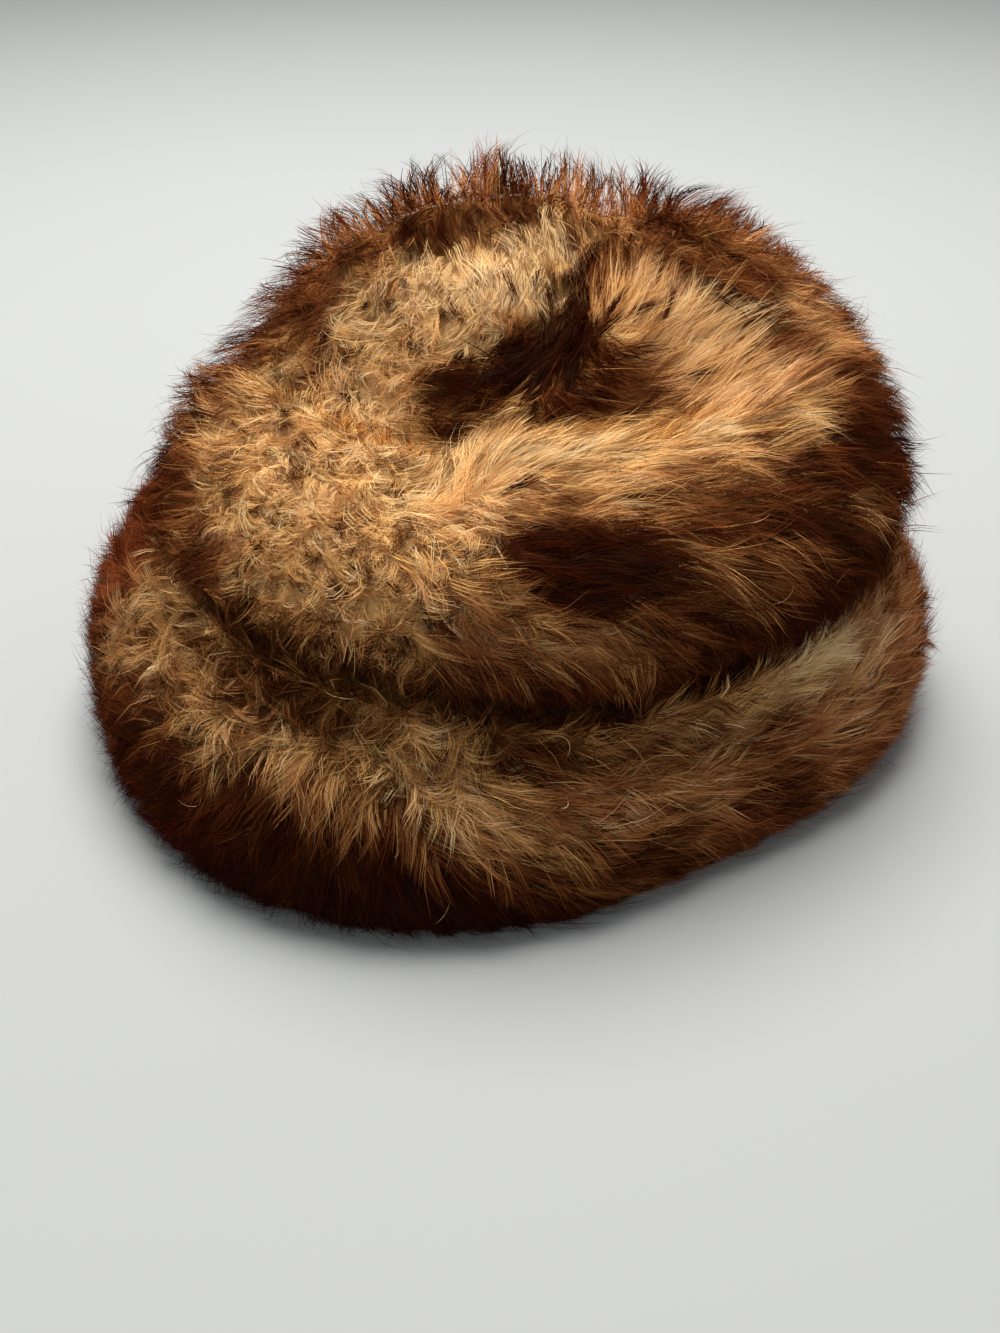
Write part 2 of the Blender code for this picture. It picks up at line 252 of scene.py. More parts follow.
def drift(points, size, kind):
    # slow uneven value near -1 to 1 in space: six crossed waves of about this size
    waves = np.random.default_rng(kind)
    value = 0.0
    for _ in range(6):
        way = unit(waves.normal(size=3)) * waves.uniform(0.7, 1.5) * 2 * math.pi / size
        value = value + np.sin(points @ way + waves.uniform(0, 2 * math.pi))
    return value / 3.0


# how the fur lies. Places are hundredths of the crown's disc, right and towards
# the low side. flow is the way it is combed: 0 right, 90 towards the low side.
# stand and length in mm; tone: 0 cream to 100 near black; warmth: 0 olive to 100 red
crownGroom = [
    # side, right, towards, reach, flow, stand, length, curl, tone, warmth
    (-1, -10, -24.5, 5, -92, 7, 22, 0.9, 72, 64), (-1, 1, -25, 4, -92, 8, 22, 0.9, 72, 64),
    (-1, -23, -16, 5, -130, 5, 22, 1.2, 76, 64), (-1, -33, -7, 5, -165, 4.5, 21, 1.4, 78, 64),
    (1, 8, -24.5, 5, -86, 8.5, 22, 0.9, 72, 64), (1, 21, -16, 5, -58, 4, 20, 1, 68, 64),
    (1, 30, -9, 5, -35, 4.5, 21, 1.1, 64, 64), (-1, -14.4, -12.5, 3, 76, 2, 20, 0.7, 82, 62),
    (-1, -9.7, -16, 3, 80, 2.2, 21, 0.7, 80, 60), (-1, -4, -17, 3, 84, 2.5, 21, 0.7, 74, 58),
    (-1, 1.4, -17.5, 3, 90, 4, 17, 0.6, 70, 56), (-1, -18.8, -8.5, 3, 96, 2.5, 18, 1.4, 80, 62),
    (1, 6.5, -17.5, 3, 90, 4.5, 18, 0.6, 70, 58), (1, 10.5, -16, 3, 80, 3.5, 20, 0.7, 74, 60),
    (1, 15.4, -11, 3, 64, 2.5, 20, 0.8, 74, 62), (1, 18.7, -6.7, 3, 50, 2.2, 20, 0.8, 72, 62),
    (-1, -13, -9.5, 2.5, 78, 1.5, 17, 0.7, 82, 60), (-1, -9, -11.5, 2.5, 76, 1.5, 17, 0.7, 78, 60),
    (-1, -5, -13, 2, 80, 1.5, 16, 0.7, 64, 58), (0, 1.4, -13, 1.8, 92, -0.5, 9, 0.5, 10, 45),
    (1, 7, -13.5, 2, 86, 1.5, 16, 0.6, 62, 56), (1, 11.5, -11.5, 2.5, 72, 1.5, 17, 0.7, 66, 60),
    (1, 16.5, -7.2, 2.5, 54, 1.5, 17, 0.8, 66, 62), (1, 21, -4, 3, 42, 2, 18, 0.9, 64, 60),
    (-1, -10, -4, 2.5, 85, -0.8, 8, 1.4, 8, 45), (-1, -6, -6.5, 2.5, 88, -0.8, 8, 0.5, 0, 45),
    (-1, -1.5, -9, 2.2, 92, -0.8, 8, 0.5, 0, 45), (0, 2, -10.8, 1.6, 95, -0.8, 8, 0.5, 2, 45),
    (0, 1, -7.6, 1.8, 98, -0.8, 8, 0.5, 4, 45), (-1, -1.5, -6.2, 2.5, 95, -0.8, 8, 0.5, 0, 45),
    (-1, -4.5, -4, 2.2, 105, -0.8, 8, 0.6, 6, 45), (-1, -4, -2, 1.5, 130, 0.3, 12, 0.8, 55, 48),
    (0, 7.5, -8.6, 1.5, -80, 0, 13, 0.7, 50, 50), (1, 6.8, -6.4, 1.3, -66, 0.3, 14, 0.8, 66, 50),
    (-1, -14, -2, 3, 95, -0.6, 9, 1.6, 20, 45), (-1, -10, -1, 3, 115, -0.6, 9, 1.5, 18, 42),
    (-1, -6.5, -2, 2.5, 120, -0.6, 9, 0.8, 16, 45), (-1, -14, 0, 3, 140, 0, 13, 2, 20, 40),
    (-1, -17, -1, 3, 110, 0, 13, 1.8, 28, 42), (-1, -20, -1, 3, 130, 1.5, 15, 1.6, 70, 65),
    (-1, -22, 2, 3, 140, 0.5, 14, 2, 48, 50), (-1, -26, -2, 3, 110, 1.5, 16, 1.2, 50, 50),
    (-1, -23, -5, 3, 125, 2.5, 17, 1.8, 78, 80), (-1, -15, 3, 3, 190, 0.5, 10, 3, 20, 35),
    (-1, -12.5, 3.5, 2.5, 160, 0.5, 11, 2.4, 30, 38), (-1, -19, 5, 3, 200, 0.5, 11, 3, 36, 42),
    (-1, -10.5, 1.5, 2, 155, 0, 13, 1.4, 36, 45), (-1, -8.4, 2.2, 1.2, 156, 1, 11, 0.9, 84, 50),
    (-1, -6, 1, 2, 152, 1, 14, 0.8, 98, 50), (-1, -3.8, -0.6, 2, 140, 1, 17, 0.7, 99, 50),
    (-1, -25, 4, 3, 120, -1, 11, 1.5, 56, 0), (-1, -28, 7, 3, 190, 1, 15, 1.5, 42, 42),
    (-1, -33, 5, 4, 190, 3, 17, 1.6, 60, 62), (-1, -45, 6, 4, 185, 4, 20, 1.4, 80, 66),
    (-1, -18, 13, 3, 150, 0, 10, 2.4, 34, 30), (-1, -12, 6.5, 2.5, 150, 0, 12, 1.8, 40, 25),
    (0, 5.2, -11.5, 0.9, 102, 1, 14, 0.6, 90, 60), (0, 4.6, -9.2, 0.9, 106, 1, 15, 0.6, 96, 50),
    (0, 3.7, -6.9, 1, 110, 1, 16, 0.6, 100, 50), (0, 2.4, -4.6, 1.4, 114, 1, 17, 0.6, 100, 50),
    (0, 0.8, -2.4, 2, 120, 1, 18, 0.6, 100, 50), (0, -0.8, -0.2, 2.6, 130, 1, 19, 0.6, 100, 50),
    (0, 2, 0.6, 2.2, 96, 0.8, 19, 0.6, 100, 50), (-1, -3.4, 0.8, 2.6, 146, 1, 19, 0.6, 100, 50),
    (-1, -6.2, 2.4, 1.8, 152, 1, 14, 0.7, 92, 50), (-1, -9.4, 4.4, 1.6, 156, 0.3, 10, 1, 40, 25),
    (-1, -7.6, 5.6, 1.4, 150, 0, 10, 1.2, 30, 18), (-1, -6.6, 4.8, 1.6, 156, 0, 11, 0.8, 46, 15),
    (0, -3.2, 4, 1.6, 148, 0, 12, 0.8, 46, 15), (1, 4.6, -0.4, 1.8, 62, 1, 19, 0.6, 96, 50),
    (1, 5, 1.6, 2.2, 22, 0.6, 19, 0.6, 92, 50), (1, 2, 3.8, 1.2, 40, 0, 12, 0.6, 74, 40),
    (1, 8.6, 3.2, 2.6, 2, 0.5, 18, 0.7, 72, 50), (1, 12.6, 4.2, 2.6, -2, 0.5, 18, 0.7, 50, 50),
    (1, 5.6, -3.2, 1.4, -72, 0.5, 15, 0.7, 80, 50), (1, 7.4, -4.4, 2.4, -60, 0.3, 14, 0.8, 38, 50),
    (1, 10, -4, 3, -48, 0.3, 15, 0.8, 24, 48), (1, 9, -1, 3, -34, 0.5, 17, 0.7, 42, 50),
    (1, 13, -2, 3, -36, 0.5, 17, 0.8, 20, 48), (1, 13, 1, 3, -14, 0.5, 18, 0.8, 26, 50),
    (1, 18, 1, 3, -18, 1, 18, 0.8, 18, 50), (1, 21, 6, 4, -4, 1, 18, 0.8, 24, 55),
    (1, 18, 5, 3, -2, 0.5, 18, 0.7, 24, 50), (1, 15, 14, 2, 0, -0.5, 12, 0.6, 22, 12),
    (1, 9, 5, 2, 5, -0.5, 12, 0.6, 34, 20), (1, 23, 1, 3, -20, 3, 20, 1, 62, 60),
    (1, 28, -2, 4, -25, 3.5, 19, 1, 38, 58), (1, 32, 4, 3, -5, 4, 21, 1.1, 74, 60),
    (1, 27, 7, 3, -10, 3, 20, 1, 48, 55), (1, 25.5, 12.5, 2, 5, 1, 15, 0.8, 18, 20),
    (1, 23, 16, 3, 0, 2, 19, 1, 52, 50), (1, 35, 13, 3.5, 0, 4.5, 22, 1.2, 90, 60),
    (1, 40, 18, 2.5, -5, 4, 21, 1.1, 46, 50), (1, 33, 24, 2.5, 0, 3, 20, 1.1, 90, 55),
    (1, 31, 33, 3, 8, 2, 18, 1, 60, 58), (1, -7, 18, 2, -60, 0.5, 13, 1, 30, 22),
    (1, -5, 17, 2, -18, 0.8, 14, 0.9, 26, 18), (1, 0, 18, 3, 4, 0.8, 15, 0.8, 24, 18),
    (1, 5, 20, 3, 8, 0.8, 16, 0.8, 26, 22), (1, 11, 21, 3, 8, 0.8, 16, 0.8, 28, 25),
    (1, 16, 20, 3, 6, 1, 17, 0.9, 38, 45), (1, -4, 22, 2, 22, 0.8, 16, 0.9, 28, 45),
    (1, 1, 24, 2, 12, 1, 17, 0.9, 24, 48), (1, 8, 25, 3, 10, 1, 18, 0.9, 30, 50),
    (1, -2, 27, 2, 22, 1, 17, 0.9, 50, 55), (1, 4, 28, 2, 10, 1, 18, 0.9, 56, 55),
    (1, -6, 25, 2, 36, 0.5, 15, 1, 28, 38), (1, -8, 30, 3, 46, 0.5, 14, 1.3, 30, 32),
    (1, -9, 38, 3, 52, 0.5, 14, 1.6, 44, 45), (1, -1.5, 34, 2.5, 14, 1.2, 18, 0.7, 84, 60),
    (1, 2.5, 34, 3, 6, 1.5, 19, 0.7, 100, 60), (1, 8.5, 35, 3, 4, 1.5, 19, 0.7, 100, 60),
    (1, 13.5, 36, 3, 5, 1.5, 19, 0.8, 94, 60), (1, 4, 39, 3, 8, 1.5, 19, 0.7, 98, 60),
    (1, 10.5, 40, 3, 8, 1.5, 19, 0.8, 96, 60), (1, 14, 27, 3.5, 5, 1.5, 19, 1, 56, 55),
    (1, 21, 28, 3.5, 5, 2, 20, 1, 70, 58), (1, 21, 34, 3, 8, 2, 19, 1, 60, 58),
    (1, 25, 40, 4, 10, 2, 20, 1, 66, 60), (1, 28, 20, 3.5, 3, 3, 21, 1.1, 74, 58),
    (1, 39, 29, 4, 8, 3, 21, 1.2, 80, 60), (1, -5, 43, 4, 22, 1, 17, 1.2, 54, 60),
    (1, 5, 47, 4, 12, 1, 18, 1, 54, 62), (1, 15, 47, 4, 10, 1.2, 18, 1, 62, 62),
    (1, 28, 48, 4, 12, 1.5, 18, 1.2, 84, 60), (1, 0, 55, 4, 30, 0.8, 15, 1.2, 58, 60),
    (1, 16, 56, 4, 18, 0.8, 15, 1.2, 68, 60), (1, 50, 40, 8, 20, 2, 20, 1.2, 90, 65),
    (1, 0, 60, 5, 60, 1, 15, 1.2, 82, 55), (1, 26, 60, 7, 40, 1, 16, 1.2, 86, 60),
    (-1, -29, 13, 4, 165, 0.8, 12, 2.2, 42, 45), (-1, -22, 16, 4, 135, 0.3, 9, 3, 38, 38),
    (-1, -16, 18, 3, 115, 0.3, 9, 3, 36, 40), (-1, -11, 20, 3, 92, 0.3, 9, 3, 34, 34),
    (-1, -30, 21, 4, 155, 0.5, 10, 2.6, 44, 42), (-1, -22, 24, 4, 130, 0.3, 9, 3.2, 36, 40),
    (-1, -17, 26, 4, 112, 0.3, 9, 3.2, 36, 40), (-1, -12, 30, 3, 92, 0.3, 9, 3, 36, 36),
    (-1, -28, 31, 4, 130, 0.5, 9, 2.8, 42, 44), (-1, -20, 34, 4, 110, 0.4, 9, 3, 42, 44),
    (-1, -14, 38, 4, 95, 0.4, 10, 2.8, 46, 44), (-1, -27, 40, 4, 116, 0.5, 10, 2.6, 58, 48),
    (-1, -19, 45, 4, 102, 0.5, 10, 2.6, 58, 48), (-1, -11, 47, 3, 80, 0.5, 10, 2.4, 60, 48),
    (-1, -41, 18, 4, 175, 3.5, 19, 1.4, 82, 75), (-1, -39, 28, 4, 155, 2, 15, 1.6, 78, 60),
    (-1, -37, 39, 4, 135, 0.8, 13, 1.6, 82, 50), (-1, -30, 54, 5, 112, 0.8, 12, 2, 80, 50),
    (-1, -10, 62, 6, 90, 0.8, 12, 2, 78, 50), (-1, -40, -25, 12, -140, 2.5, 22, 1.5, 70, 80),
    (-1, -15, -50, 14, -100, 2.5, 22, 1.5, 68, 80), (-1, -60, 0, 10, 180, 2.5, 20, 1.5, 75, 75),
    (1, 60, 5, 10, 5, 2.5, 20, 1.2, 78, 75), (1, 38, -28, 12, -40, 2.5, 22, 1.5, 70, 85),
    (1, 15, -50, 14, -80, 2.5, 22, 1.5, 68, 80), (-1, -28, -3, 4, 150, 3, 18, 1.4, 76, 75),
]
# places are degrees from the middle of the low side, and hundredths down the band.
# flow: 0 round the band to the right, 90 down
cuffGroom = [
    # side, turn, down, reach, flow, stand, length, curl, tone, warmth
    # near the front, the rows 81 to 89 hundredths down go near black: painted shade along the foot
    # of the band
    (0, -78, 85, 8, 180, 3.5, 20, 1.3, 84, 90), (0, -80, 28, 8, 205, 3, 19, 1.5, 72, 95),
    (0, -78, 55, 8, 190, 3.5, 20, 1.5, 70, 100), (0, -68, 52, 7, 180, 1.5, 15, 2.2, 40, 56),
    (0, -55, 43, 7, 160, 0.8, 13, 2.4, 36, 42), (0, -59, 35, 6, 150, 0.8, 13, 2.2, 46, 46),
    (0, -67, 73, 6, 185, 3, 19, 1.5, 74, 90), (0, -53, 56, 6, 165, 1.5, 15, 1.8, 56, 65),
    (0, -54, 71, 7, 165, 2.5, 18, 1.4, 82, 75), (0, -51, 86, 7, 150, 3, 19, 1.3, 88, 75),
    (0, -46, 45, 6, 140, 0.5, 13, 2.2, 44, 42), (0, -44, 61, 6, 140, 1.2, 16, 1.4, 66, 60),
    (0, -42, 53, 5, 125, 0.5, 14, 2, 38, 42), (0, -37, 56, 6, 115, 0.8, 16, 1.3, 40, 48),
    (0, -40, 76, 6, 125, 2.5, 19, 1.2, 90, 68), (0, -34, 69, 6, 115, 2, 18, 1.2, 76, 60),
    (0, -39, 36, 6, 115, 0.5, 13, 2, 60, 50), (0, -31, 46, 5, 100, 0.5, 15, 1.2, 32, 40),
    (0, -32, 29, 5, 105, 0.5, 13, 1.8, 78, 45), (0, -30, 58, 6, 95, 1, 18, 1, 42, 48),
    (0, -27, 73, 6, 100, 2.2, 19, 1.1, 94, 60), (0, -36, 88, 7, 112, 2.8, 19, 1.2, 95, 62),
    (0, -24, 61, 6, 82, 1, 18, 1, 42, 50), (0, -26, 30, 5, 95, 0.5, 14, 1.8, 70, 42),
    (0, -23, 48, 5, 85, 0.8, 17, 1.2, 46, 48), (0, -20, 71, 6, 72, 1.8, 18, 1.1, 88, 60),
    (0, -22, 88, 7, 85, 2.5, 18, 1.2, 99, 55), (0, -19, 31, 5, 80, 0.5, 13, 2.4, 46, 35),
    (0, -14, 31, 5, 45, 0.5, 13, 2.4, 34, 32), (0, -13, 46, 5, 45, 0.8, 15, 1.8, 40, 40),
    (0, -15, 57, 6, 58, 1, 18, 1.1, 56, 55), (0, -13, 68, 6, 48, 1.2, 18, 1, 64, 62),
    (0, -13, 81, 7, 55, 1.8, 18, 1.1, 97, 58), (0, -18, 23, 5, 60, 0.5, 13, 2, 72, 42),
    (0, -7, 31, 5, 25, 0.5, 15, 1.8, 44, 40), (0, -4, 49, 6, 28, 0.8, 18, 1.2, 34, 45),
    (0, -5, 62, 6, 35, 1, 19, 1, 38, 50), (0, -3, 74, 6, 38, 1.2, 19, 1, 72, 62),
    (0, -4, 89, 7, 45, 1.8, 18, 1.2, 98, 58), (0, 0, 25, 5, 12, 0.8, 16, 1.4, 72, 55),
    (0, 4, 44, 6, 15, 1, 19, 1, 56, 60), (0, 4, 63, 6, 20, 1, 20, 1, 42, 52),
    (0, 7, 76, 7, 22, 1.2, 19, 1, 72, 62), (0, 12, 29, 5, 6, 0.8, 17, 1.1, 54, 58),
    (0, 14, 49, 6, 6, 1, 19, 1, 48, 66), (0, 14, 64, 6, 10, 1, 19, 1, 42, 60),
    (0, 18, 81, 7, 14, 1.2, 18, 1, 72, 62), (0, 25, 25, 5, 2, 0.6, 16, 1.1, 42, 40),
    (0, 24, 49, 6, 3, 1, 19, 1, 46, 66), (0, 25, 66, 7, 6, 1, 19, 1, 48, 66),
    (0, 37, 29, 5, -4, 0.6, 17, 1.1, 30, 42), (0, 35, 54, 6, 0, 1, 19, 1, 50, 70),
    (0, 36, 73, 7, 4, 1.5, 19, 1.1, 64, 75), (0, 47, 24, 4, -8, 0.5, 15, 1.1, 6, 50),
    (0, 53, 24, 4, -8, 0.5, 15, 1.1, 0, 50), (0, 50, 42, 5, -4, 0.8, 17, 1, 28, 50),
    (0, 45, 59, 6, 0, 1.5, 19, 1, 46, 75), (0, 62, 33, 5, -10, 1.5, 17, 1.1, 28, 64),
    (0, 56, 59, 6, -4, 2.5, 19, 1.1, 36, 72), (0, 57, 84, 7, 0, 3, 19, 1.2, 52, 76),
    (0, 73, 37, 6, -12, 3, 18, 1.2, 38, 72), (0, 68, 64, 8, -2, 4, 19, 1.2, 46, 78),
    # the rows five hundredths down, inside the crest, carry dark tone: painted shade in the groove
    # between the crown and the band
    (0, -70, 5, 5, 110, 0.3, 12, 1.8, 80, 45), (0, -52, 5, 5, 100, 0.3, 12, 1.8, 84, 45),
    (0, -36, 5, 5, 100, 0.3, 12, 1.8, 84, 45), (0, -20, 5, 5, 95, 0.3, 12, 1.8, 82, 45),
    (0, -5, 5, 5, 30, 0.3, 12, 1.5, 82, 45), (0, 10, 5, 5, 15, 0.3, 13, 1.5, 84, 45),
    (0, 26, 5, 5, 15, 0.3, 13, 1.5, 84, 45), (0, 42, 5, 5, 15, 0.3, 13, 1.5, 84, 45),
    (0, 105, 30, 14, 0, 1.5, 20, 1.5, 55, 70), (0, 105, 75, 14, 10, 2, 21, 1.5, 70, 85),
    (0, 140, 40, 16, 10, 1.5, 20, 1.5, 50, 60), (0, 150, 85, 14, 30, 2, 20, 1.5, 80, 70),
    (0, 180, 35, 16, 15, 1.5, 20, 1.5, 56, 65), (0, 180, 70, 16, 30, 1.5, 20, 1.5, 62, 70),
    (0, -150, 40, 16, 140, 1.5, 20, 1.5, 60, 70), (0, -140, 85, 14, 120, 2, 20, 1.5, 82, 75),
    (0, -115, 35, 12, 160, 1.5, 20, 1.5, 60, 75), (0, -110, 75, 12, 140, 2.5, 20, 1.5, 74, 85),
]
# small loose locks, mostly dark, and single pale hairs: the same columns but reach
crownLocks = [
    (-1, -12.5, -4.1, 60, 1, 9, 3.5, 86, 50), (-1, -15.7, -2, 20, 1, 8, 3.5, 88, 50),
    (-1, -12.7, -2, 150, 1, 10, 3, 84, 50), (-1, -2.5, -5.4, 155, 1.2, 13, 2.5, 80, 50),
    (-1, 0.7, -8.3, 140, 1, 11, 2, 72, 50), (-1, -8, -2.3, 120, 0.8, 12, 3, 60, 50),
    (-1, -6.3, -1.8, 165, 1, 14, 2.5, 72, 50), (-1, -9.3, 0.3, 170, 1.2, 15, 2, 90, 50),
    (-1, -19.1, -1, 130, 1.5, 14, 1.5, 88, 60), (-1, -21.6, -3.1, 120, 1.5, 13, 2, 86, 70),
    (-1, -17.3, 0.8, 60, 1, 9, 3, 72, 50), (-1, -20.2, 2.1, 155, 1.2, 13, 2, 80, 50),
    (-1, -16.9, 4.5, 10, 1, 9, 3.5, 88, 50), (-1, -22.6, 10.4, 120, 1, 11, 2.5, 76, 40),
    (-1, -14.8, 23.9, 120, 1, 7, 4, 84, 60), (-1, -26.6, 21.8, 100, 1, 8, 3.5, 82, 60),
    (-1, -21.1, 19.8, 140, 1, 7, 4, 78, 60), (-1, -17, 25.7, 60, 1, 7, 4, 78, 60),
    (-1, -12.8, 27.9, 110, 1, 8, 3.5, 78, 50), (-1, -28.3, 26.7, 90, 1, 9, 3, 84, 60),
    (-1, -20.1, 14.8, 150, 1, 8, 3.5, 74, 60), (-1, -17.8, 19.2, 30, 1, 7, 4, 72, 60),
    (-1, -13.5, -11.5, 76, 2, 18, 1, 88, 60), (-1, -10.8, -12.5, 80, 2, 19, 1, 88, 60),
    (-1, -7.6, -14, 72, 2, 19, 1, 88, 60), (-1, -5.2, -14.6, 78, 2, 19, 1, 88, 60),
    (-1, -2.4, -15.4, 84, 2.5, 16, 1, 82, 60), (-1, 1.8, -16.6, 92, 3, 15, 1, 80, 60),
    (-1, 5.2, -15.6, 94, 2.5, 17, 1, 84, 60), (1, 9.8, -13.6, 82, 2, 18, 1, 86, 60),
    (1, 12.2, -12, 74, 2, 19, 1, 88, 60), (1, 14.4, -10, 66, 2, 18, 1, 86, 65),
    (1, 17, -7.6, 58, 2, 18, 1, 88, 65), (1, 19.2, -5.4, 50, 2, 18, 1, 88, 65),
    (-1, 5.2, -11.4, 104, 1.2, 14, 0.8, 92, 50), (-1, 4.9, -10, 106, 1.2, 15, 0.8, 94, 50),
    (-1, 4.3, -8.6, 108, 1.2, 15, 0.8, 96, 50), (-1, 3.8, -7.2, 110, 1.2, 16, 0.8, 98, 50),
    (-1, 3, -6, 112, 1.2, 16, 0.8, 98, 50), (-1, 2.2, -4.8, 114, 1.2, 17, 0.8, 98, 50),
    (1, 6.2, -9.4, -72, 0.8, 13, 0.9, 86, 50), (1, 5.7, -7.2, -64, 0.8, 14, 0.9, 88, 50),
    (1, 5.2, -4.6, -56, 0.8, 16, 0.9, 90, 50), (1, 4.8, -1.2, -26, 0.8, 18, 0.9, 90, 50),
    (1, 5.6, -2.4, -42, 0.8, 16, 0.9, 88, 50), (1, 7.8, -2.4, -38, 0.8, 17, 0.9, 84, 50),
    (1, 7.2, -5.4, -62, 0.8, 15, 0.9, 80, 50), (1, 10.8, -5.6, -58, 0.8, 15, 0.9, 76, 50),
    (1, 13.2, -3.6, -44, 0.8, 16, 0.9, 74, 50), (1, 15.5, -3.2, 62, 1.5, 11, 1.2, 92, 70),
    (1, 17.9, -2.1, 55, 1.5, 11, 1.2, 90, 80), (1, -3.4, 23.7, 22, 1, 15, 1.2, 86, 60),
    (1, -0.1, 25.4, 18, 1, 15, 1.2, 84, 60), (1, -6.4, 32.7, 80, 0.8, 7, 2.5, 90, 50),
    (1, 10.6, -1.7, -38, 0.8, 17, 1.2, 80, 50), (1, 11.9, 1.9, -6, 0.8, 18, 1, 82, 50),
    (1, 16.6, 1.8, -14, 0.8, 17, 1, 78, 60),
]
crownStrays = [
    (-1, -48.2, 17.4, 85, 5, 17, 2.5, 0, 50), (-1, -25.3, 48.2, 75, 4.5, 15, 2, 0, 60),
    (-1, -12, 23, -60, 3, 8, 3, 0, 40), (1, 22.4, 29, 85, 4.5, 14, 3, 0, 50),
    (1, 25.3, 23.5, -50, 4, 8, 2, 10, 60), (1, 30.7, 39.1, 10, 4, 12, 3, 5, 70),
    (1, 41.3, 32.4, 85, 5, 18, 2, 0, 60), (1, 6.9, 45.3, -25, 3.5, 8, 2, 5, 60),
    (1, -5, 4.3, -60, 3, 8, 3, 0, 40),
]
cuffStrays = [
    (0, 27.2, 27.6, 65, 4, 11, 2, 0, 60), (0, 30.3, 30.1, -40, 4, 9, 2, 0, 60),
    (0, 3.5, 23, 10, 3.5, 15, 3.5, 0, 40), (0, 3.9, 43.7, 12, 3.5, 14, 2.5, 5, 60),
    (0, 8.1, 65.1, -25, 3.5, 8, 2, 5, 60), (0, -38.8, 68, 88, 4, 20, 2.5, 0, 60),
    (0, -46.8, 81.3, 10, 3.5, 11, 2.5, 5, 70), (0, -62.2, 67.3, -15, 4, 14, 3, 0, 60),
    (0, -49.7, 48.6, 20, 3.5, 12, 2.5, 5, 60), (0, -10.1, 82.2, 100, 4, 15, 2, 0, 40),
    (0, -15, 69.1, 6, 3.5, 13, 2, 10, 70), (0, -9.5, 17.2, 95, 3.5, 8, 2, 5, 40),
    (0, -28.5, 20.2, 70, 3.5, 12, 2, 0, 60),
]

# a hundredth down the cuff counts for as much as this many degrees round it
cuffDownScale = 0.45


def groomAt(rows, side, a, b, downScale):
    # every row pulls on a place by its reach over the distance, to the fifth power
    total = 0.0
    mixed = np.zeros(a.shape + (7,))
    for row in np.array(rows, float):
        if row[0] not in (0, side):
            continue
        across = a - row[1]
        if downScale < 1.0:
            across = np.mod(across + 180.0, 360.0) - 180.0
        gap = (across ** 2 + (downScale * (b - row[2])) ** 2) / row[3] ** 2
        pull = (gap + 0.08) ** -2.5
        way = math.radians(row[4])
        values = np.array([math.cos(way), math.sin(way), *row[5:8], *(row[8:] / 100.0)])
        mixed += pull[..., None] * values
        total = total + pull
    mixed = mixed / total[..., None]
    names = ("flowRight", "flowDown", "stand", "length", "curl", "tone", "warmth")
    return dict(zip(names, np.moveaxis(mixed, -1, 0)))


# colours along a hair, sRGB 0 to 255, for four kinds of fur: olive, gold, brown, red
toneStops = (0.0, 0.3, 0.55, 0.8, 1.0)
quarterEdge, quarterSpan = 0.04, 0.92
softTurn = 0.22
furPalette = [
    # a row for each tone stop: root, tip, share of the hair where it turns
    [
        ((240, 222, 180), (248, 232, 194), 0.70),
        ((222, 190, 136), (196, 160, 108), 0.65),
        ((186, 146, 92), (116, 78, 46), 0.50),
        ((140, 94, 52), (54, 26, 11), 0.32),
        ((58, 20, 8), (38, 12, 5), 0.25),
    ],
    [
        ((255, 216, 148), (255, 226, 172), 0.70),
        ((244, 188, 114), (216, 160, 94), 0.65),
        ((210, 150, 84), (122, 72, 34), 0.50),
        ((162, 98, 48), (60, 25, 10), 0.32),
        ((60, 20, 8), (40, 12, 5), 0.25),
    ],
    [
        ((248, 208, 154), (250, 222, 178), 0.70),
        ((230, 174, 110), (192, 128, 76), 0.60),
        ((194, 126, 72), (122, 64, 32), 0.45),
        ((150, 84, 42), (64, 24, 9), 0.32),
        ((62, 20, 8), (42, 12, 5), 0.25),
    ],
    [
        ((244, 200, 150), (240, 198, 148), 0.70),
        ((220, 152, 96), (182, 106, 62), 0.60),
        ((188, 110, 62), (138, 70, 36), 0.45),
        ((136, 68, 36), (96, 38, 18), 0.35),
        ((62, 22, 11), (42, 12, 5), 0.25),
    ],
]


def toLinear(rgb):
    # sRGB bytes to linear light
    value = np.array(rgb, float) / 255.0
    return tuple(np.where(value <= 0.04045, value / 12.92, ((value + 0.055) / 1.055) ** 2.4))


def inQuarter(kind, tone):
    # place of a tone in the quarter of its kind, clear of the next kind's
    return (kind + quarterEdge + quarterSpan * tone) / len(furPalette)


def palettePlace(tone, warmth, shuffle):
    # the quarter comes from the warmth, dithered, and the place in it from the tone
    kind = np.clip(np.floor(warmth * 3.0 + 0.5 + (shuffle - 0.5) * 1.1), 0, 3)
    # both edges of a ribbon stay inside the quarter
    return inQuarter(kind, np.clip(tone, 0.006, 0.994))


def setInputs(tree, node, inputs):
    # each input named gets a link where a socket is given, else a value
    for key, value in inputs.items():
        if isinstance(value, bpy.types.NodeSocket):
            tree.links.new(value, node.inputs[key])
        else:
            node.inputs[key].default_value = value
    return node


def addNode(tree, kind, inputs, **settings):
    node = tree.nodes.new("ShaderNode" + kind)
    for key, value in settings.items():
        setattr(node, key, value)
    return setInputs(tree, node, inputs)


def addRamp(tree, factor, stops, label=""):
    # a ramp from places and linear colours
    ramp = addNode(tree, "ValToRGB", {"Fac": factor}, label=label)
    elements = ramp.color_ramp.elements
    for index, (place, colour) in ((0, stops[0]), (1, stops[-1])):
        elements[index].position = place
        elements[index].color = (*colour, 1.0)
    for place, colour in stops[1:-1]:
        elements.new(place).color = (*colour, 1.0)
    return ramp.outputs["Color"]


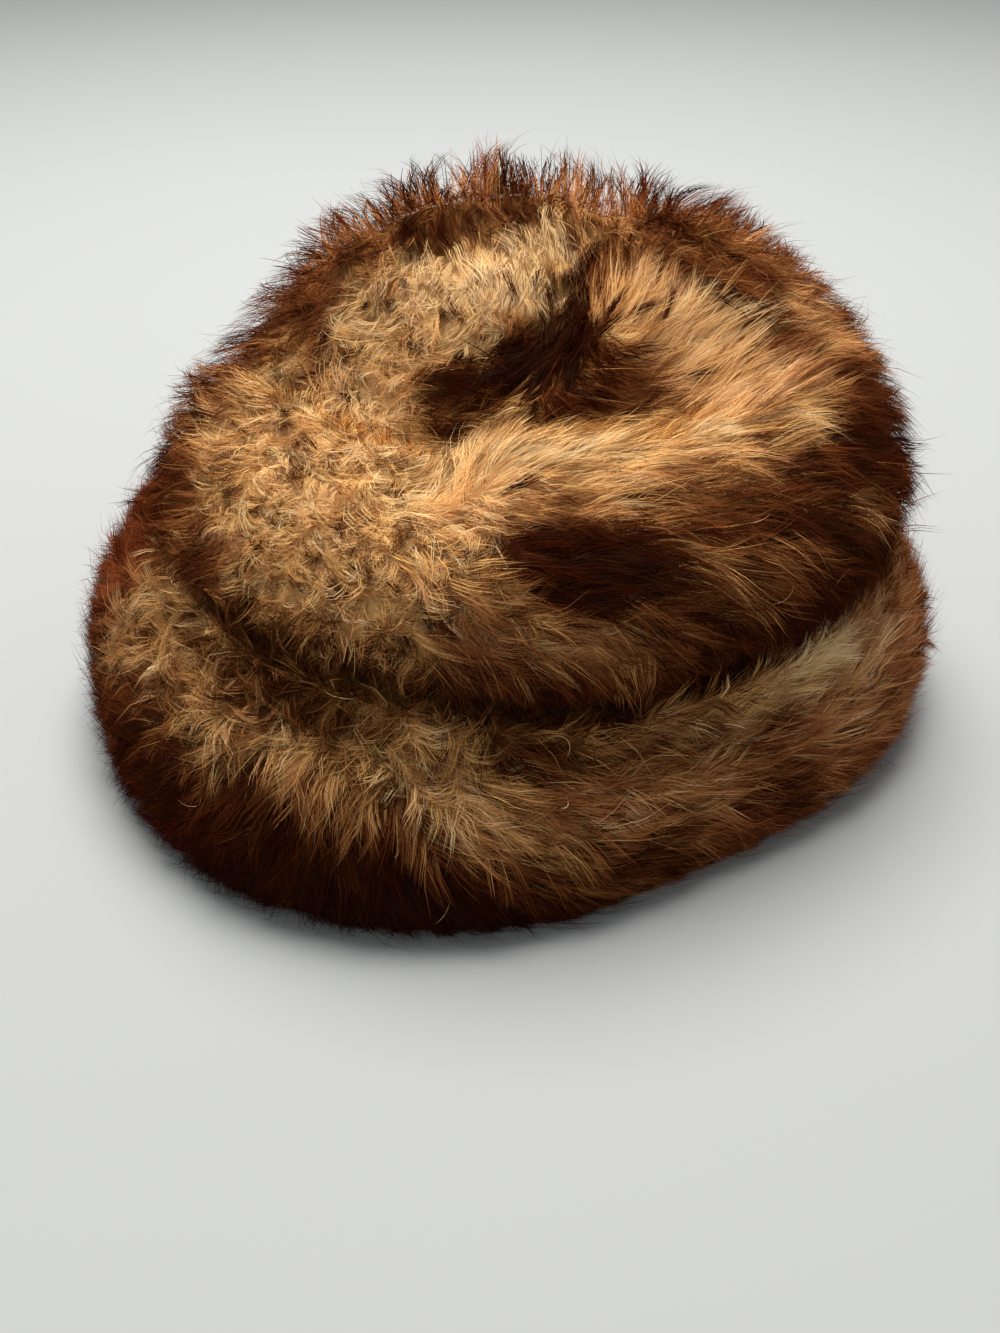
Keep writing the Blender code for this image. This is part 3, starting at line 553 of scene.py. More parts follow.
def furColour(tree, place, along):
    # each ramp holds every kind side by side, in quarters. The root colour turns
    # to the tip colour where the palette says, over a soft stretch
    def ramp(label, pick):
        stops = [(inQuarter(kind, tone), pick(row)) for kind, rows in enumerate(furPalette)
                 for tone, row in zip(toneStops, rows)]
        return addRamp(tree, place, stops, label)
    root = ramp("root", lambda row: toLinear(row[0]))
    tip = ramp("tip", lambda row: toLinear(row[1]))
    turn = ramp("turning place", lambda row: (row[2],) * 3)
    gap = addNode(tree, "Math", {0: along, 1: turn}, operation="SUBTRACT")
    soft = addNode(tree, "MapRange", {"Value": gap.outputs[0], "From Min": -softTurn,
                                      "From Max": softTurn}, interpolation_type="SMOOTHSTEP")
    blend = addNode(tree, "Mix", {"Factor": soft.outputs["Result"], "A": root, "B": tip},
                    data_type="RGBA")
    return blend.outputs["Result"]


def newMaterial(name):
    material = bpy.data.materials.new(name)
    material.use_nodes = True
    tree = material.node_tree
    return material, tree, tree.nodes["Principled BSDF"]


def hairMaterial(name, look):
    # the colour reads the hair's own map: kind and tone across, root to tip along
    material, tree, shader = newMaterial(name)
    uv = addNode(tree, "UVMap", {}, uv_map="OFBake")
    split = addNode(tree, "SeparateXYZ", {"Vector": uv.outputs["UV"]})
    colour = furColour(tree, split.outputs["X"], split.outputs["Y"])
    setInputs(tree, shader, {"Base Color": colour, "Roughness": look["roughness"],
                             "Specular IOR Level": look["specular"]})
    return material


def addThing(name, data):
    thing = bpy.data.objects.new(name, data)
    bpy.context.scene.collection.objects.link(thing)
    return thing


def frameAt(place, a, b, scale):
    # the point, unit ways right and down the form, and outwards, by small steps
    step = 0.004
    across = place(a + step * scale, b) - place(a - step * scale, b)
    down = place(a, b + step) - place(a, b - step)
    outward = unit(np.cross(down, across))
    size = (np.linalg.norm(across, axis=-1) / (2 * step * scale),
            np.linalg.norm(down, axis=-1) / (2 * step))
    return place(a, b), unit(across), unit(down), outward, size


def scatter(place, spanA, spanB, keep, count, rng):
    # even places: cells of the form are drawn by their area, then a place in each
    a = np.linspace(*spanA, 261)
    b = np.linspace(*spanB, 201)
    gridA, gridB = np.meshgrid(a, b, indexing="ij")
    points = place(gridA, gridB)
    across = points[1:, :-1] - points[:-1, :-1]
    down = points[:-1, 1:] - points[:-1, :-1]
    area = np.linalg.norm(np.cross(across, down), axis=-1)
    middleA = (gridA[1:, 1:] + gridA[:-1, :-1]) / 2
    middleB = (gridB[1:, 1:] + gridB[:-1, :-1]) / 2
    weight = area * keep(middleA, middleB)
    total = np.cumsum(weight.ravel())
    picks = (np.arange(count) + rng.random(count)) / count * total[-1]
    row, column = np.unravel_index(np.searchsorted(total, picks), area.shape)
    each = total[-1] / count * (area / np.maximum(weight, 1e-9))[row, column]
    return (a[row] + rng.random(count) * (a[1] - a[0]),
            b[column] + rng.random(count) * (b[1] - b[0]), each)


def depthUnder(wall, length):
    # roots lie under the tips by a share of the hair, or less where the skin is close
    return np.minimum(np.clip(0.45 * wall, 1.5, pelt["depth"]), pelt["depthShare"] * length)


def undercoat(tone, dip):
    # wool under mid brown hair is paler than it, and as dark under the darkest
    return tone - dip * np.sin(math.pi * np.clip(tone, 0.0, 1.0))


# below this height hair bends up, and none lies lower than the second, in mm
restStart, restLowest = 3.0, 0.4


def growFur(look, form, count, segments, rng):
    # tufts hold wisps, wisps hold hairs. A hair is a centre line that leaves the
    # skin steeply, lies down along the flow, waves by its curl, and is pulled to
    # the tips of its wisp and its tuft
    tuftCount = max(int(count / look["perTuft"]), 1)
    wispCount = max(int(count / look["perWisp"]), 1)
    if "spots" in form:
        spots = np.array(form["spots"], float)
        tuftCount, each = len(spots), np.full(len(spots), look["spotArea"])
        tuftA, tuftB = spots[:, 1] / form["units"][0], spots[:, 2] / form["units"][1]
    else:
        tuftA, tuftB, each = scatter(form["place"], *form["spans"], form["keep"], tuftCount, rng)
    tuftPoint, *_, tuftSize = frameAt(form["place"], tuftA, tuftB, form["scale"])
    spread = np.sqrt(each) * look["tuftSpread"]
    ofTuft = np.arange(wispCount) * tuftCount // wispCount
    wispA = tuftA[ofTuft] + rng.normal(size=wispCount) * (spread / tuftSize[0])[ofTuft]
    wispB = tuftB[ofTuft] + rng.normal(size=wispCount) * (spread / tuftSize[1])[ofTuft]
    wispB = np.clip(wispB, *form["spans"][1])
    point, across, down, out, size = frameAt(form["place"], wispA, wispB, form["scale"])

    # groomed values, the place shaken so that no patch ends in a line
    def shaken(wide, fine, kind, amount):
        return drift(point, wide, kind) * amount + drift(point, fine, kind + 1) * amount * 0.5
    shakeA = shaken(34.0, 13.0, 5, form["shake"][0])
    shakeB = shaken(31.0, 12.0, 7, form["shake"][1])

    def groomed(a, b):
        return groomAt(form["groom"], form["side"], a * form["units"][0] + shakeA,
                       b * form["units"][1] + shakeB, form["downScale"])
    groom = groomed(wispA, wispB)
    tuftRandom = rng.normal(size=(tuftCount, 6))[ofTuft]
    wispRandom = rng.normal(size=(wispCount, 6))

    curl = groom["curl"] * look["curl"]
    turned = np.arctan2(groom["flowDown"], groom["flowRight"])
    sway = tuftRandom[:, 0] * (3 + 16 * curl) + wispRandom[:, 0] * (2 + 2 * curl)
    turned = turned + np.radians(sway)
    flow = across * np.cos(turned)[:, None] + down * np.sin(turned)[:, None]
    flow = unit(flow - (flow * out).sum(-1, keepdims=True) * out)
    aside = np.cross(out, flow)
    variety = np.exp(tuftRandom[:, 1] * 0.10 + wispRandom[:, 1] * 0.08)
    length = groom["length"] * look["length"] * variety
    # the colour belongs where a hair is seen, some way along its flow
    ahead = length * look["seen"]
    seen = groomed(wispA + np.cos(turned) * ahead / size[0],
                   wispB + np.sin(turned) * ahead / size[1])
    depth = form["depth"](wispA, wispB, out, groom["length"])
    stand = groom["stand"] * look["stand"] + look["lift"]
    # fur stands up where two ways of lying part
    parting = 1.0 - np.hypot(groom["flowRight"], groom["flowDown"])
    stand = stand + parting * look["partingStand"]
    uneven = tuftRandom[:, 2] * (0.7 + 0.3 * curl) + wispRandom[:, 2] * 0.4
    stand = stand + uneven * look["uneven"]
    waves = look["waves"] * (0.7 + 0.5 * rng.random(tuftCount)[ofTuft])
    phase = rng.random(tuftCount)[ofTuft] * 2 * math.pi + wispRandom[:, 3] * 0.5
    speck = drift(point, 6.0, 21) * 0.5 + tuftRandom[:, 4] * 0.5 + wispRandom[:, 5] * 0.45
    # curly tufts are more unlike each other, and dark ones stand out
    speck = speck * np.where(speck > 0.0, 1.35, 0.8) * (0.7 + 0.45 * curl)
    tone = undercoat(seen["tone"], look["toneDip"])
    tone = tone + look["speck"] * speck * (0.10 + 1.8 * seen["tone"] * (1.08 - seen["tone"]))
    warmth = seen["warmth"] + 0.10 * drift(point, 25.0, 22)

    # hairs of each wisp
    ofWisp = np.arange(count) * wispCount // count
    hairRandom = rng.normal(size=(count, 6))
    stray = rng.random(count) < look["strays"]
    hairLength = length[ofWisp] * np.exp(hairRandom[:, 0] * 0.10) * np.where(stray, 1.25, 1.0)
    hairStand = stand[ofWisp] + hairRandom[:, 1] * 0.6 + np.where(stray, look["strayStand"], 0.0)
    rise = np.clip((depth[ofWisp] + hairStand) / hairLength, 0.05, 0.93)
    lift = np.arcsin(rise)
    stations = segments + 1
    share = np.linspace(0.0, 1.0, stations)
    middle = (share[1:] + share[:-1]) / 2.0
    bend = np.clip(lift[:, None] * (1.75 - 1.5 * middle), -0.2, 1.5)
    stepLength = (hairLength / segments)[:, None]
    # curly tufts hook round to one side in the plane of the skin
    bias = tuftRandom[:, 5]
    hook = np.sign(bias) * (0.7 + 0.4 * np.abs(bias)) + wispRandom[:, 4] * 0.12
    hook = np.radians(hook * 95 * np.maximum(curl - 0.55, 0.12))
    heading = hook[ofWisp, None] * (middle - 0.2)
    flat = np.cos(bend) * stepLength

    def running(steps):
        return np.concatenate([np.zeros((count, 1)), np.cumsum(steps, 1)], 1)
    forward = running(flat * np.cos(heading))
    aslant = running(flat * np.sin(heading))
    upward = running(np.sin(bend) * stepLength)
    angle = phase[ofWisp, None] + 2 * math.pi * waves[ofWisp, None] * share
    swing = 0.6 * curl[ofWisp, None] * share ** 0.6
    sideways = aslant + swing * (np.sin(angle) - np.sin(angle[:, :1]))
    upward = upward + 0.45 * swing * (np.cos(angle) - np.cos(angle[:, :1]))
    fray = look["fray"] * share * hairRandom[:, 2:3] * hairLength[:, None] * 0.05
    sideways = sideways + fray + share ** 2 * np.where(stray, hairRandom[:, 5] * 3.0, 0.0)[:, None]

    def inPlace(vectors, values):
        return vectors[ofWisp, None, :] * values[..., None]
    offset = rng.normal(size=(count, 2)) * look["wispSpread"]
    root = point[ofWisp] - out[ofWisp] * depth[ofWisp, None]
    shift = across[ofWisp] * offset[:, :1] + down[ofWisp] * offset[:, 1:]
    fromTuft = (point - tuftPoint[ofTuft])[ofWisp]
    pull = np.where(stray, 0.2, 1.0)[:, None, None]
    wispPull = look["wispPull"] * share[None, :, None] ** 1.2 * pull
    gather = look["tuftPull"] * (0.8 + 0.2 * curl[ofWisp, None, None])
    tuftPull = np.minimum(gather, 0.8) * share[None, :, None] ** 1.6 * pull
    line = root[:, None, :] + inPlace(flow, forward) + inPlace(out, upward)
    line = line + inPlace(aside, sideways)
    line = line + shift[:, None, :] * (1.0 - wispPull) - fromTuft[:, None, :] * tuftPull
    line = line - inPlace(flow, look["rootBack"] * hairLength[:, None] * np.ones(stations))
    # hair that would pass through the floor lies on it
    z = line[..., 2]
    spring = restStart - restLowest
    rest = restLowest + spring * np.exp(np.minimum(z - restStart, 0.0) / spring)
    line[..., 2] = np.where(z < restStart, rest, z)

    # ribbons face outwards, each rolled a little
    tangent = unit(np.gradient(line, axis=1))
    facing = out[ofWisp] + aside[ofWisp] * hairRandom[:, 3:4] * look["roll"]
    facing = facing + flow[ofWisp] * hairRandom[:, 4:5] * look["roll"] * 0.4
    edge = unit(np.cross(tangent, facing[:, None, :]))
    width = look["width"] * (0.6 + 0.02 * hairLength) * np.where(stray, 0.6, 1.0)
    width = width * form["sparse"](wispA, wispB)[ofWisp] ** 0.7
    width = width * np.exp(0.25 * rng.normal(size=count))
    taper = (0.75 + 0.5 * share[:-1]) * (1.0 - share[:-1] ** 3)
    half = edge[:, :-1] * (width[:, None] * taper / 2.0)[..., None]
    hairTone = tone[ofWisp] + rng.normal(size=count) * look["toneNoise"]
    place = palettePlace(hairTone, warmth[ofWisp], rng.random(count))
    # light meets a hair half as the coat and half as a thread
    shading = unit(0.7 * out[ofWisp][:, None, :] + unit(np.cross(edge, tangent)) * look["thread"])
    return line, half, place, share, shading


# how far the map's two edges of a ribbon lie from its middle
mapEdge = 0.0012


def buildHair(name, parts, material):
    # each hair is a strip of quads with one triangle at its tip
    rows = []
    first = 0
    for line, half, place, share, shading in parts:
        count, pairs = len(line), line.shape[1] - 1
        corner = 2 * pairs
        sides = np.stack([line[:, :-1] + half, line[:, :-1] - half], 2).reshape(count, -1, 3)
        vertices = np.concatenate([sides, line[:, -1:]], 1)
        normals = np.concatenate([np.repeat(shading[:, :-1], 2, 1), shading[:, -1:]], 1)
        uv = np.empty((count, corner + 1, 2))
        uv[..., 0] = place[:, None] + np.append(np.tile([-mapEdge, mapEdge], pairs), 0.0)
        uv[..., 1] = 0.02 + 0.96 * np.append(np.repeat(share[:-1], 2), 1.0)
        strip = 2 * np.arange(pairs - 1)[:, None] + np.array([0, 2, 3, 1])
        loops = np.append(strip.ravel(), [corner - 2, corner, corner - 1])
        corners = first + np.arange(count)[:, None] * (corner + 1) + loops
        first += count * (corner + 1)
        rows.append((vertices.reshape(-1, 3), normals.reshape(-1, 3), uv.reshape(-1, 2),
                     corners.ravel(), np.tile([4] * (pairs - 1) + [3], count)))
    vertices, normals, uv, corners, sizes = [np.concatenate(column) for column in zip(*rows)]
    mesh = bpy.data.meshes.new(name)
    mesh.vertices.add(len(vertices))
    mesh.vertices.foreach_set("co", (vertices * milli).ravel().astype(np.float32))
    mesh.loops.add(len(corners))
    mesh.loops.foreach_set("vertex_index", corners.astype(np.int32))
    mesh.polygons.add(len(sizes))
    mesh.polygons.foreach_set("loop_start", (np.cumsum(sizes) - sizes).astype(np.int32))
    mesh.update(calc_edges=True)
    layer = mesh.uv_layers.new(name="OFBake")
    layer.data.foreach_set("uv", uv[corners].ravel().astype(np.float32))
    mesh.shade_smooth()
    mesh.normals_split_custom_set_from_vertices(normals.astype(np.float32))
    mesh.materials.append(material)
    print(name, int((sizes == 3).sum()), "hairs", int((sizes - 2).sum()), "triangles")
    return addThing(name, mesh)


# the pelts: a dense woolly face under the fur, and the skin inside
pelt = {"depth": 8.0, "depthShare": 0.36, "lumps": 0.6, "thinnest": 1.2, "footHeight": 0.3,
        "seamLean": 0.25, "across": 46, "along": 92, "around": 150, "downCuff": 36}


def crownDepth(right, towards, out, length):
    # the wall goes from the tips of the fur to the skin inside
    turn, share = onDisc(right, towards)
    wall = crownSurface(turn, share) - crownSurface(turn, share, 1.0)
    return depthUnder((wall * out).sum(-1), length)


def cuffFur(share):
    # 1 where the band is furred, 0 at its inner edge and its foot
    return np.clip(alongRows([row[4:5] for row in cuffLevels], share)[..., 0], 0.0, 1.0)


def cuffDepth(turn, down, out, length):
    full = np.minimum(pelt["depth"], pelt["depthShare"] * length)
    return pelt["thinnest"] + (full - pelt["thinnest"]) * cuffFur(down)


def gridOut(points):
    return unit(np.cross(np.gradient(points, axis=1), np.gradient(points, axis=0)))


def gridFaces(ids, flip):
    # quads between neighbouring rows and columns of vertex numbers
    quads = np.stack([ids[:-1, :-1], ids[1:, :-1], ids[1:, 1:], ids[:-1, 1:]], -1).reshape(-1, 4)
    return quads[:, ::-1] if flip else quads


def buildPelt(name, vertices, quads, skinFrom, place, materials):
    # one closed body; faces from skinFrom on are the skin side
    mesh = bpy.data.meshes.new(name)
    mesh.from_pydata((vertices * milli).tolist(), [], quads.tolist())
    mesh.validate()
    spot = mesh.attributes.new("furPlace", "FLOAT", "POINT")
    spot.data.foreach_set("value", place.astype(np.float32))
    for material in materials:
        mesh.materials.append(material)
    slots = np.zeros(len(mesh.polygons), np.int32)
    slots[skinFrom:] = 1
    mesh.polygons.foreach_set("material_index", slots)
    mesh.shade_smooth()
    print(name, len(quads) * 2, "triangles")
    return addThing(name, mesh)


def noiseAt(tree, scale, detail, distortion=0.0):
    where = addNode(tree, "TexCoord", {})
    noise = addNode(tree, "TexNoise", {"Vector": where.outputs["Object"], "Scale": scale,
                                       "Detail": detail, "Distortion": distortion})
    return noise.outputs["Fac"]


def bumpFrom(tree, height, strength, distance):
    bump = addNode(tree, "Bump", {"Height": height, "Strength": strength, "Distance": distance})
    return bump.outputs["Normal"]


def woolMaterial(name):
    # the undercoat: the fur's colours near its roots, broken up, with a curly bump
    material, tree, shader = newMaterial(name)
    spot = addNode(tree, "Attribute", {}, attribute_name="furPlace")
    noise = noiseAt(tree, scale=420.0, detail=6.0, distortion=1.5)
    along = addNode(tree, "MapRange", {"Value": noise, "From Min": 0.3, "From Max": 0.7,
                                       "To Min": 0.2, "To Max": 0.6})
    colour = furColour(tree, spot.outputs["Fac"], along.outputs["Result"])
    setInputs(tree, shader, {"Base Color": colour, "Roughness": 0.9, "Specular IOR Level": 0.1,
                             "Normal": bumpFrom(tree, noise, strength=0.8, distance=0.002)})
    return material


def skinMaterial(name, colour):
    # suede: pale tan with blotches, fine grain and a soft sheen
    material, tree, shader = newMaterial(name)
    blotch = noiseAt(tree, scale=45.0, detail=5.0)
    grain = noiseAt(tree, scale=900.0, detail=3.0)
    pale = toLinear(colour)
    stops = [(0.3, [v * 0.72 for v in pale]), (0.7, pale)]
    setInputs(tree, shader, {"Base Color": addRamp(tree, blotch, stops), "Roughness": 0.88,
                             "Specular IOR Level": 0.15, "Sheen Weight": 0.25,
                             "Normal": bumpFrom(tree, grain, strength=0.35, distance=0.0006)})
    return material


woolFace = woolMaterial("wool_undercoat")
skinFace = skinMaterial("suede_skin", (196, 158, 112))


def peltPlace(spot, tips):
    tone = undercoat(spot["tone"], woolLook["toneDip"]) + 0.06 * drift(tips, 8.0, 32)
    return palettePlace(tone, 0.33, 0.5)


def crownPelt(name, side):
    # half of the crown on a square layout, from the seam to its edge
    across = np.linspace(0.0, 1.0, pelt["across"] + 1)[:, None] * side
    along = np.linspace(-1.0, 1.0, pelt["along"] + 1)[None, :]
    share, turn = crownLayout(across + 0 * along, along + 0 * across)
    tips = crownSurface(turn, share)
    skin = crownSurface(turn, share, 1.0)
    out = gridOut(tips) * side
    disc = (1.0 - share) * 100.0
    spot = groomAt(crownGroom, side, disc * np.sin(turn - frontTurn),
                   disc * np.cos(turn - frontTurn), 1.0)
    depth = depthUnder(((tips - skin) * out).sum(-1), spot["length"])
    depth = depth * ease(share, 0.2, 0.36) + 0.4
    wool = tips - out * (depth + pelt["lumps"] * drift(tips, 9.0, 31))[..., None]
    # the halves stand apart by the panel gap
    way = frontTurn - pelt["seamLean"]
    push = np.array([math.cos(way), math.sin(way), 0.0]) * side * panelGap * 0.5
    wool, skin = wool + push, skin + push
    place = peltPlace(spot, tips)
    ids = np.arange(share.size).reshape(share.shape)
    far = ids + share.size
    flip = side > 0
    edges = [(ids[:, 0], far[:, 0]), (ids[-1], far[-1]), (ids[::-1, -1], far[::-1, -1]),
             (ids[0, ::-1], far[0, ::-1])]
    rim = [gridFaces(np.stack(pair), flip) for pair in edges]
    quads = [gridFaces(ids, flip), *rim, gridFaces(far, not flip)]
    skinFrom = sum(len(q) for q in quads[:-1])
    vertices = np.concatenate([wool.reshape(-1, 3), skin.reshape(-1, 3)])
    return buildPelt(name, vertices, np.concatenate(quads), skinFrom,
                     np.tile(place.ravel(), 2), [woolFace, skinFace])


def cuffPelt(name):
    # a closed ring: down the woolly outside, across the foot and up the inner wall
    turn = np.linspace(0.0, 2 * math.pi, pelt["around"], endpoint=False)[:, None]
    share = np.linspace(0.0, 1.0, pelt["downCuff"] + 1)[None, :]
    turns, shares = turn + 0 * share, share + 0 * turn
    tips = cuffSurface(turns, shares)
    wrapped = np.concatenate([tips[-1:], tips, tips[:1]])
    out = gridOut(wrapped)[1:-1]
    spot = groomAt(cuffGroom, 0, np.degrees(turns - frontTurn), shares * 100.0, cuffDownScale)
    deep = np.minimum(pelt["depth"], pelt["depthShare"] * spot["length"])
    deep = deep + pelt["lumps"] * drift(tips, 9.0, 33)
    wool = tips - out * (cuffFur(shares) * deep)[..., None]
    wool[..., 2] = np.maximum(wool[..., 2], pelt["thinnest"])
    wool[:, -1, 2] = pelt["footHeight"]
    part = np.array([0.0, 0.33, 0.66, 0.94])[None, :]
    radius = planOval(turn) * (cuffInside + 0.004 * part)
    inner = placed(radius * np.sin(turn), -radius * np.cos(turn),
                   np.maximum((aroundRows(2, turn) - 8.0) * part, pelt["footHeight"]))
    points = np.concatenate([wool, inner], axis=1)
    place = peltPlace(spot, tips)
    place = np.concatenate([place, np.tile(place[:, -1:], (1, 4))], axis=1)
    ids = np.arange(points.shape[0] * points.shape[1]).reshape(points.shape[:2])
    ids = np.concatenate([ids, ids[:1]])
    ids = np.concatenate([ids, ids[:, :1]], axis=1)
    woolly = gridFaces(ids[:, :wool.shape[1]], True)
    plain = gridFaces(ids[:, wool.shape[1] - 1:], True)
    return buildPelt(name, points.reshape(-1, 3), np.concatenate([woolly, plain]), len(woolly),
                     place.ravel(), [woolFace, skinFace])


# the fur itself: short wool under long hair
woolLook = {
    "perTuft": 24, "perWisp": 4, "tuftSpread": 0.55, "wispSpread": 0.75,
    "length": 0.72, "stand": 0.0, "lift": -2.4, "uneven": 0.7, "curl": 1.0, "waves": 0.7,
    "fray": 0.9, "strays": 0.0, "strayStand": 0.0, "partingStand": 3.0, "wispPull": 0.30,
    "tuftPull": 0.30, "seen": 0.35, "rootBack": 0.2, "roll": 0.4, "thread": 0.3, "width": 0.30,
    "toneDip": 0.26, "speck": 0.10, "toneNoise": 0.04, "roughness": 0.8, "specular": 0.0,
}
hairLook = {
    "perTuft": 28, "perWisp": 4, "tuftSpread": 0.50, "wispSpread": 0.48,
    "length": 1.0, "stand": 1.0, "lift": 0.2, "uneven": 1.0, "curl": 0.8, "waves": 0.5,
    "fray": 0.7, "strays": 0.05, "strayStand": 4.5, "partingStand": 5.0, "wispPull": 0.50,
    "tuftPull": 0.50, "seen": 0.40, "rootBack": 0.2, "roll": 0.4, "thread": 0.35, "width": 0.22,
    "toneDip": 0.0, "speck": 0.32, "toneNoise": 0.04, "roughness": 0.7, "specular": 0.0,
}
# small loose locks and single pale hairs, each at its own place
looseLook = {**hairLook, "perTuft": 1, "perWisp": 1, "tuftSpread": 0.25, "wispSpread": 0.35,
             "seen": 0.0, "spotArea": 9.0, "strays": 0.0, "tuftPull": 0.55, "speck": 0.10,
             "width": 0.26}
# the crown's fur ends under the cuff, this far out on its disc
furEdge = 0.67
# of a form: units turn a place into the groom table's numbers, shake is how far it
# wanders there, and scale is a step to the right for a step of one down


def thicker(rows, side, a, b, downScale):
    # short fur grows closer together
    return (18.0 / groomAt(rows, side, a, b, downScale)["length"]) ** 1.2


def crownSparse(right, towards):
    # the far slope has fewer hairs, each wider
    return 1.0 + 0.9 * ease(-towards, 0.24, 0.42)


def cuffSparse(turn, down):
    # and so has the back of the cuff
    return 1.0 + 0.9 * ease(np.abs(turn), 84.0, 112.0)


def crownForm(side):
    def keep(right, towards):
        inside = (panelSide(right, towards) == side) * (np.hypot(right, towards) < furEdge)
        grown = thicker(crownGroom, side, right * 100.0, towards * 100.0, 1.0)
        return inside * grown / crownSparse(right, towards)
    span = (-furEdge, furEdge)
    return {"place": crownPlace, "spans": (span, span), "keep": keep, "scale": 1.0,
            "units": (100.0, 100.0), "shake": (1.4, 1.4), "side": side, "groom": crownGroom,
            "downScale": 1.0, "depth": crownDepth, "sparse": crownSparse}


def cuffKeep(turn, down):
    return thicker(cuffGroom, 0, turn, down * 100.0, cuffDownScale) / cuffSparse(turn, down)


cuffForm = {"place": cuffPlace, "spans": ((-180.0, 180.0), (0.03, 0.985)), "keep": cuffKeep,
            "scale": 60.0, "units": (1.0, 100.0), "shake": (2.2, 4.5), "side": 0,
            "groom": cuffGroom, "downScale": cuffDownScale, "depth": cuffDepth,
            "sparse": cuffSparse}

# hairs and their segments: wool, then long hair
furCounts = {"crown_left": (19000, 2, 26000, 4), "crown_right": (19000, 2, 36500, 3),
             "cuff": (26000, 2, 72000, 3)}
# hairs at each spot and their segments
looseCounts = {"lock": (22, 5), "stray": (1, 9)}
looseReach = 0.7
furSeeds = {"crown": 40, "cuff": 50}
woolHairs = hairMaterial("fur_wool", woolLook)
longHairs = hairMaterial("fur_hair", hairLook)


def growCoat(name, form, rng):
    woolCount, woolParts, hairCount, hairParts = furCounts[name]
    wool = growFur(woolLook, form, woolCount, woolParts, rng)
    return wool, growFur(hairLook, form, hairCount, hairParts, rng)


def growLoose(kind, form, rows, rng):
    # the same surface, with tufts only at these rows
    spots = [(*row[:3], looseReach, *row[3:]) for row in rows if row[0] == form["side"]]
    loose = {**form, "groom": spots, "spots": spots, "shake": (0.0, 0.0)}
    perSpot, segments = looseCounts[kind]
    return growFur(looseLook, loose, perSpot * len(spots), segments, rng)


pieces = []
for sideName, side in (("left", -1), ("right", 1)):
    name, form = "crown_" + sideName, crownForm(side)
    body = crownPelt(name + "_pelt", side)
    rng = np.random.default_rng(furSeeds["crown"] + side)
    wool, hair = growCoat(name, form, rng)
    locks = growLoose("lock", form, crownLocks, rng)
    lone = growLoose("stray", form, crownStrays, rng)
    things = [body, buildHair(name + "_wool", [wool], woolHairs),
              buildHair(name + "_hair", [hair, locks, lone], longHairs)]
    pieces += [(piece, name + "_panel", "crown_fur_" + sideName) for piece in things]
print("crown done")

rng = np.random.default_rng(furSeeds["cuff"])
body = cuffPelt("cuff_pelt")
wool, hair = growCoat("cuff", cuffForm, rng)
lone = growLoose("stray", cuffForm, cuffStrays, rng)
things = [body, buildHair("cuff_wool", [wool], woolHairs)]
half = len(hair[0]) // 2
for name, part, more in (("cuff_hair_a", slice(0, half), [lone]),
                         ("cuff_hair_b", slice(half, None), [])):
    strands = [(hair[0][part], hair[1][part], hair[2][part], hair[3], hair[4][part])]
    things.append(buildHair(name, strands + more, longHairs))
pieces += [(piece, "cuff", "cuff_fur") for piece in things]
print("cuff done")

for piece, node, slotName in pieces:
    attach(piece, "root")
    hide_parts(node)

# floor and backdrop: one pale sheet that sweeps up behind. Metres
studio = {"floorHalf": 1.6, "sweep": 2.2, "sweepRadius": 0.7, "wallHeight": 2.0, "halfWidth": 2.2,
          "paper": (0.43, 0.44, 0.435), "world": 0.32, "worldColour": (0.93, 0.97, 1.0, 1.0),
          "key": 42.0, "keySize": 1.1, "keyColour": (1.0, 0.98, 0.95),
          "keyBack": 0.48, "keyLeft": 0.08, "keyHeight": 1.5, "keyAim": 0.05}
upWay = np.array([0.0, 0.0, 1.0])
towardsWay = np.array([math.sin(frontTurn), -math.cos(frontTurn), 0.0])
rightWay = np.array([math.cos(frontTurn), math.sin(frontTurn), 0.0])


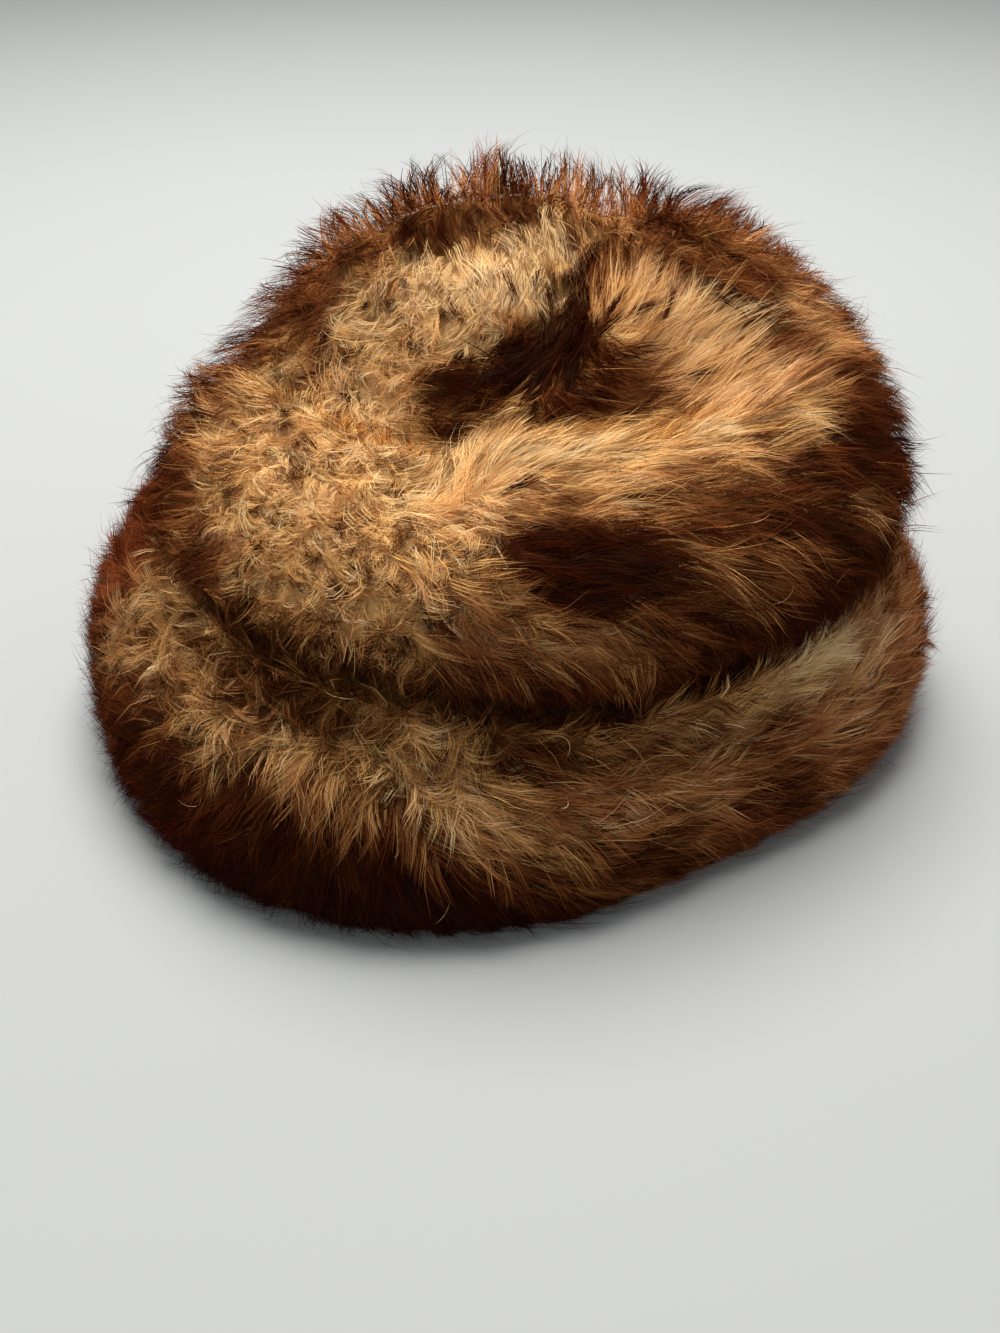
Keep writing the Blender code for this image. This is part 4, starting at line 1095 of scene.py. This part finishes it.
def backdrop(name, look):
    # flat floor, a quarter circle up, then a wall, carried sideways
    bend = np.linspace(0.0, math.pi / 2, 25)
    far = np.concatenate([[-look["floorHalf"]], look["sweep"] + look["sweepRadius"] * np.sin(bend),
                          [look["sweep"] + look["sweepRadius"]]])
    up = np.concatenate([[0.0], look["sweepRadius"] * (1.0 - np.cos(bend)), [look["wallHeight"]]])
    across = np.linspace(-look["halfWidth"], look["halfWidth"], 9)
    points = (far[:, None, None] * -towardsWay + across[None, :, None] * rightWay
              + up[:, None, None] * upWay)
    mesh = bpy.data.meshes.new(name)
    ids = np.arange(points.shape[0] * points.shape[1]).reshape(points.shape[:2])
    mesh.from_pydata(points.reshape(-1, 3).tolist(), [], gridFaces(ids, True).tolist())
    mesh.shade_smooth()
    material, tree, shader = newMaterial("backdrop_paper")
    stops = [(0.0, [v * 0.98 for v in look["paper"]]), (1.0, look["paper"])]
    colour = addRamp(tree, noiseAt(tree, scale=3.0, detail=2.0), stops)
    setInputs(tree, shader, {"Base Color": colour, "Roughness": 0.75, "Specular IOR Level": 0.2})
    mesh.materials.append(material)
    return addThing(name, mesh)


floor = backdrop("backdrop", studio)


def lookAlong(way):
    # turns -Z along the way, with no roll
    way = way / np.linalg.norm(way)
    return (math.acos(-way[2]), 0.0, math.atan2(way[1], way[0]) - math.pi / 2)


keyData = bpy.data.lights.new("key_above", "AREA")
keyData.shape = "DISK"
keyData.size = studio["keySize"]
keyData.energy = studio["key"]
keyData.color = studio["keyColour"]
keyPlace = (-studio["keyBack"] * towardsWay - studio["keyLeft"] * rightWay
            + studio["keyHeight"] * upWay)
lamp = addThing("key_above", keyData)
lamp.location = keyPlace
lamp.rotation_euler = lookAlong(studio["keyAim"] * upWay - keyPlace)
world = bpy.data.worlds.new("room")
world.use_nodes = True
background = world.node_tree.nodes["Background"]
background.inputs["Color"].default_value = studio["worldColour"]
background.inputs["Strength"].default_value = studio["world"]
bpy.context.scene.world = world
bpy.context.scene.view_settings.view_transform = "Standard"

# the camera at the photograph's angle
shot = {"azimuth": 61.8, "elevation": 34.9, "distance": 0.433, "lens": 36.5,
        "target": (0.03096, -0.02102, 0.025)}
azimuth, elevation = math.radians(shot["azimuth"]), math.radians(shot["elevation"])
away = np.array([math.sin(azimuth) * math.cos(elevation), -math.cos(azimuth) * math.cos(elevation),
                 math.sin(elevation)])
cameraData = bpy.data.cameras.new("camera")
cameraData.sensor_fit = "VERTICAL"
cameraData.sensor_height = 36.0
cameraData.sensor_width = 36.0
cameraData.lens = shot["lens"]
cameraData.clip_start = 0.01
camera = addThing("camera", cameraData)
camera.location = np.array(shot["target"]) + away * shot["distance"]
camera.rotation_euler = lookAlong(-away)
bpy.context.scene.camera = camera
print("studio done")
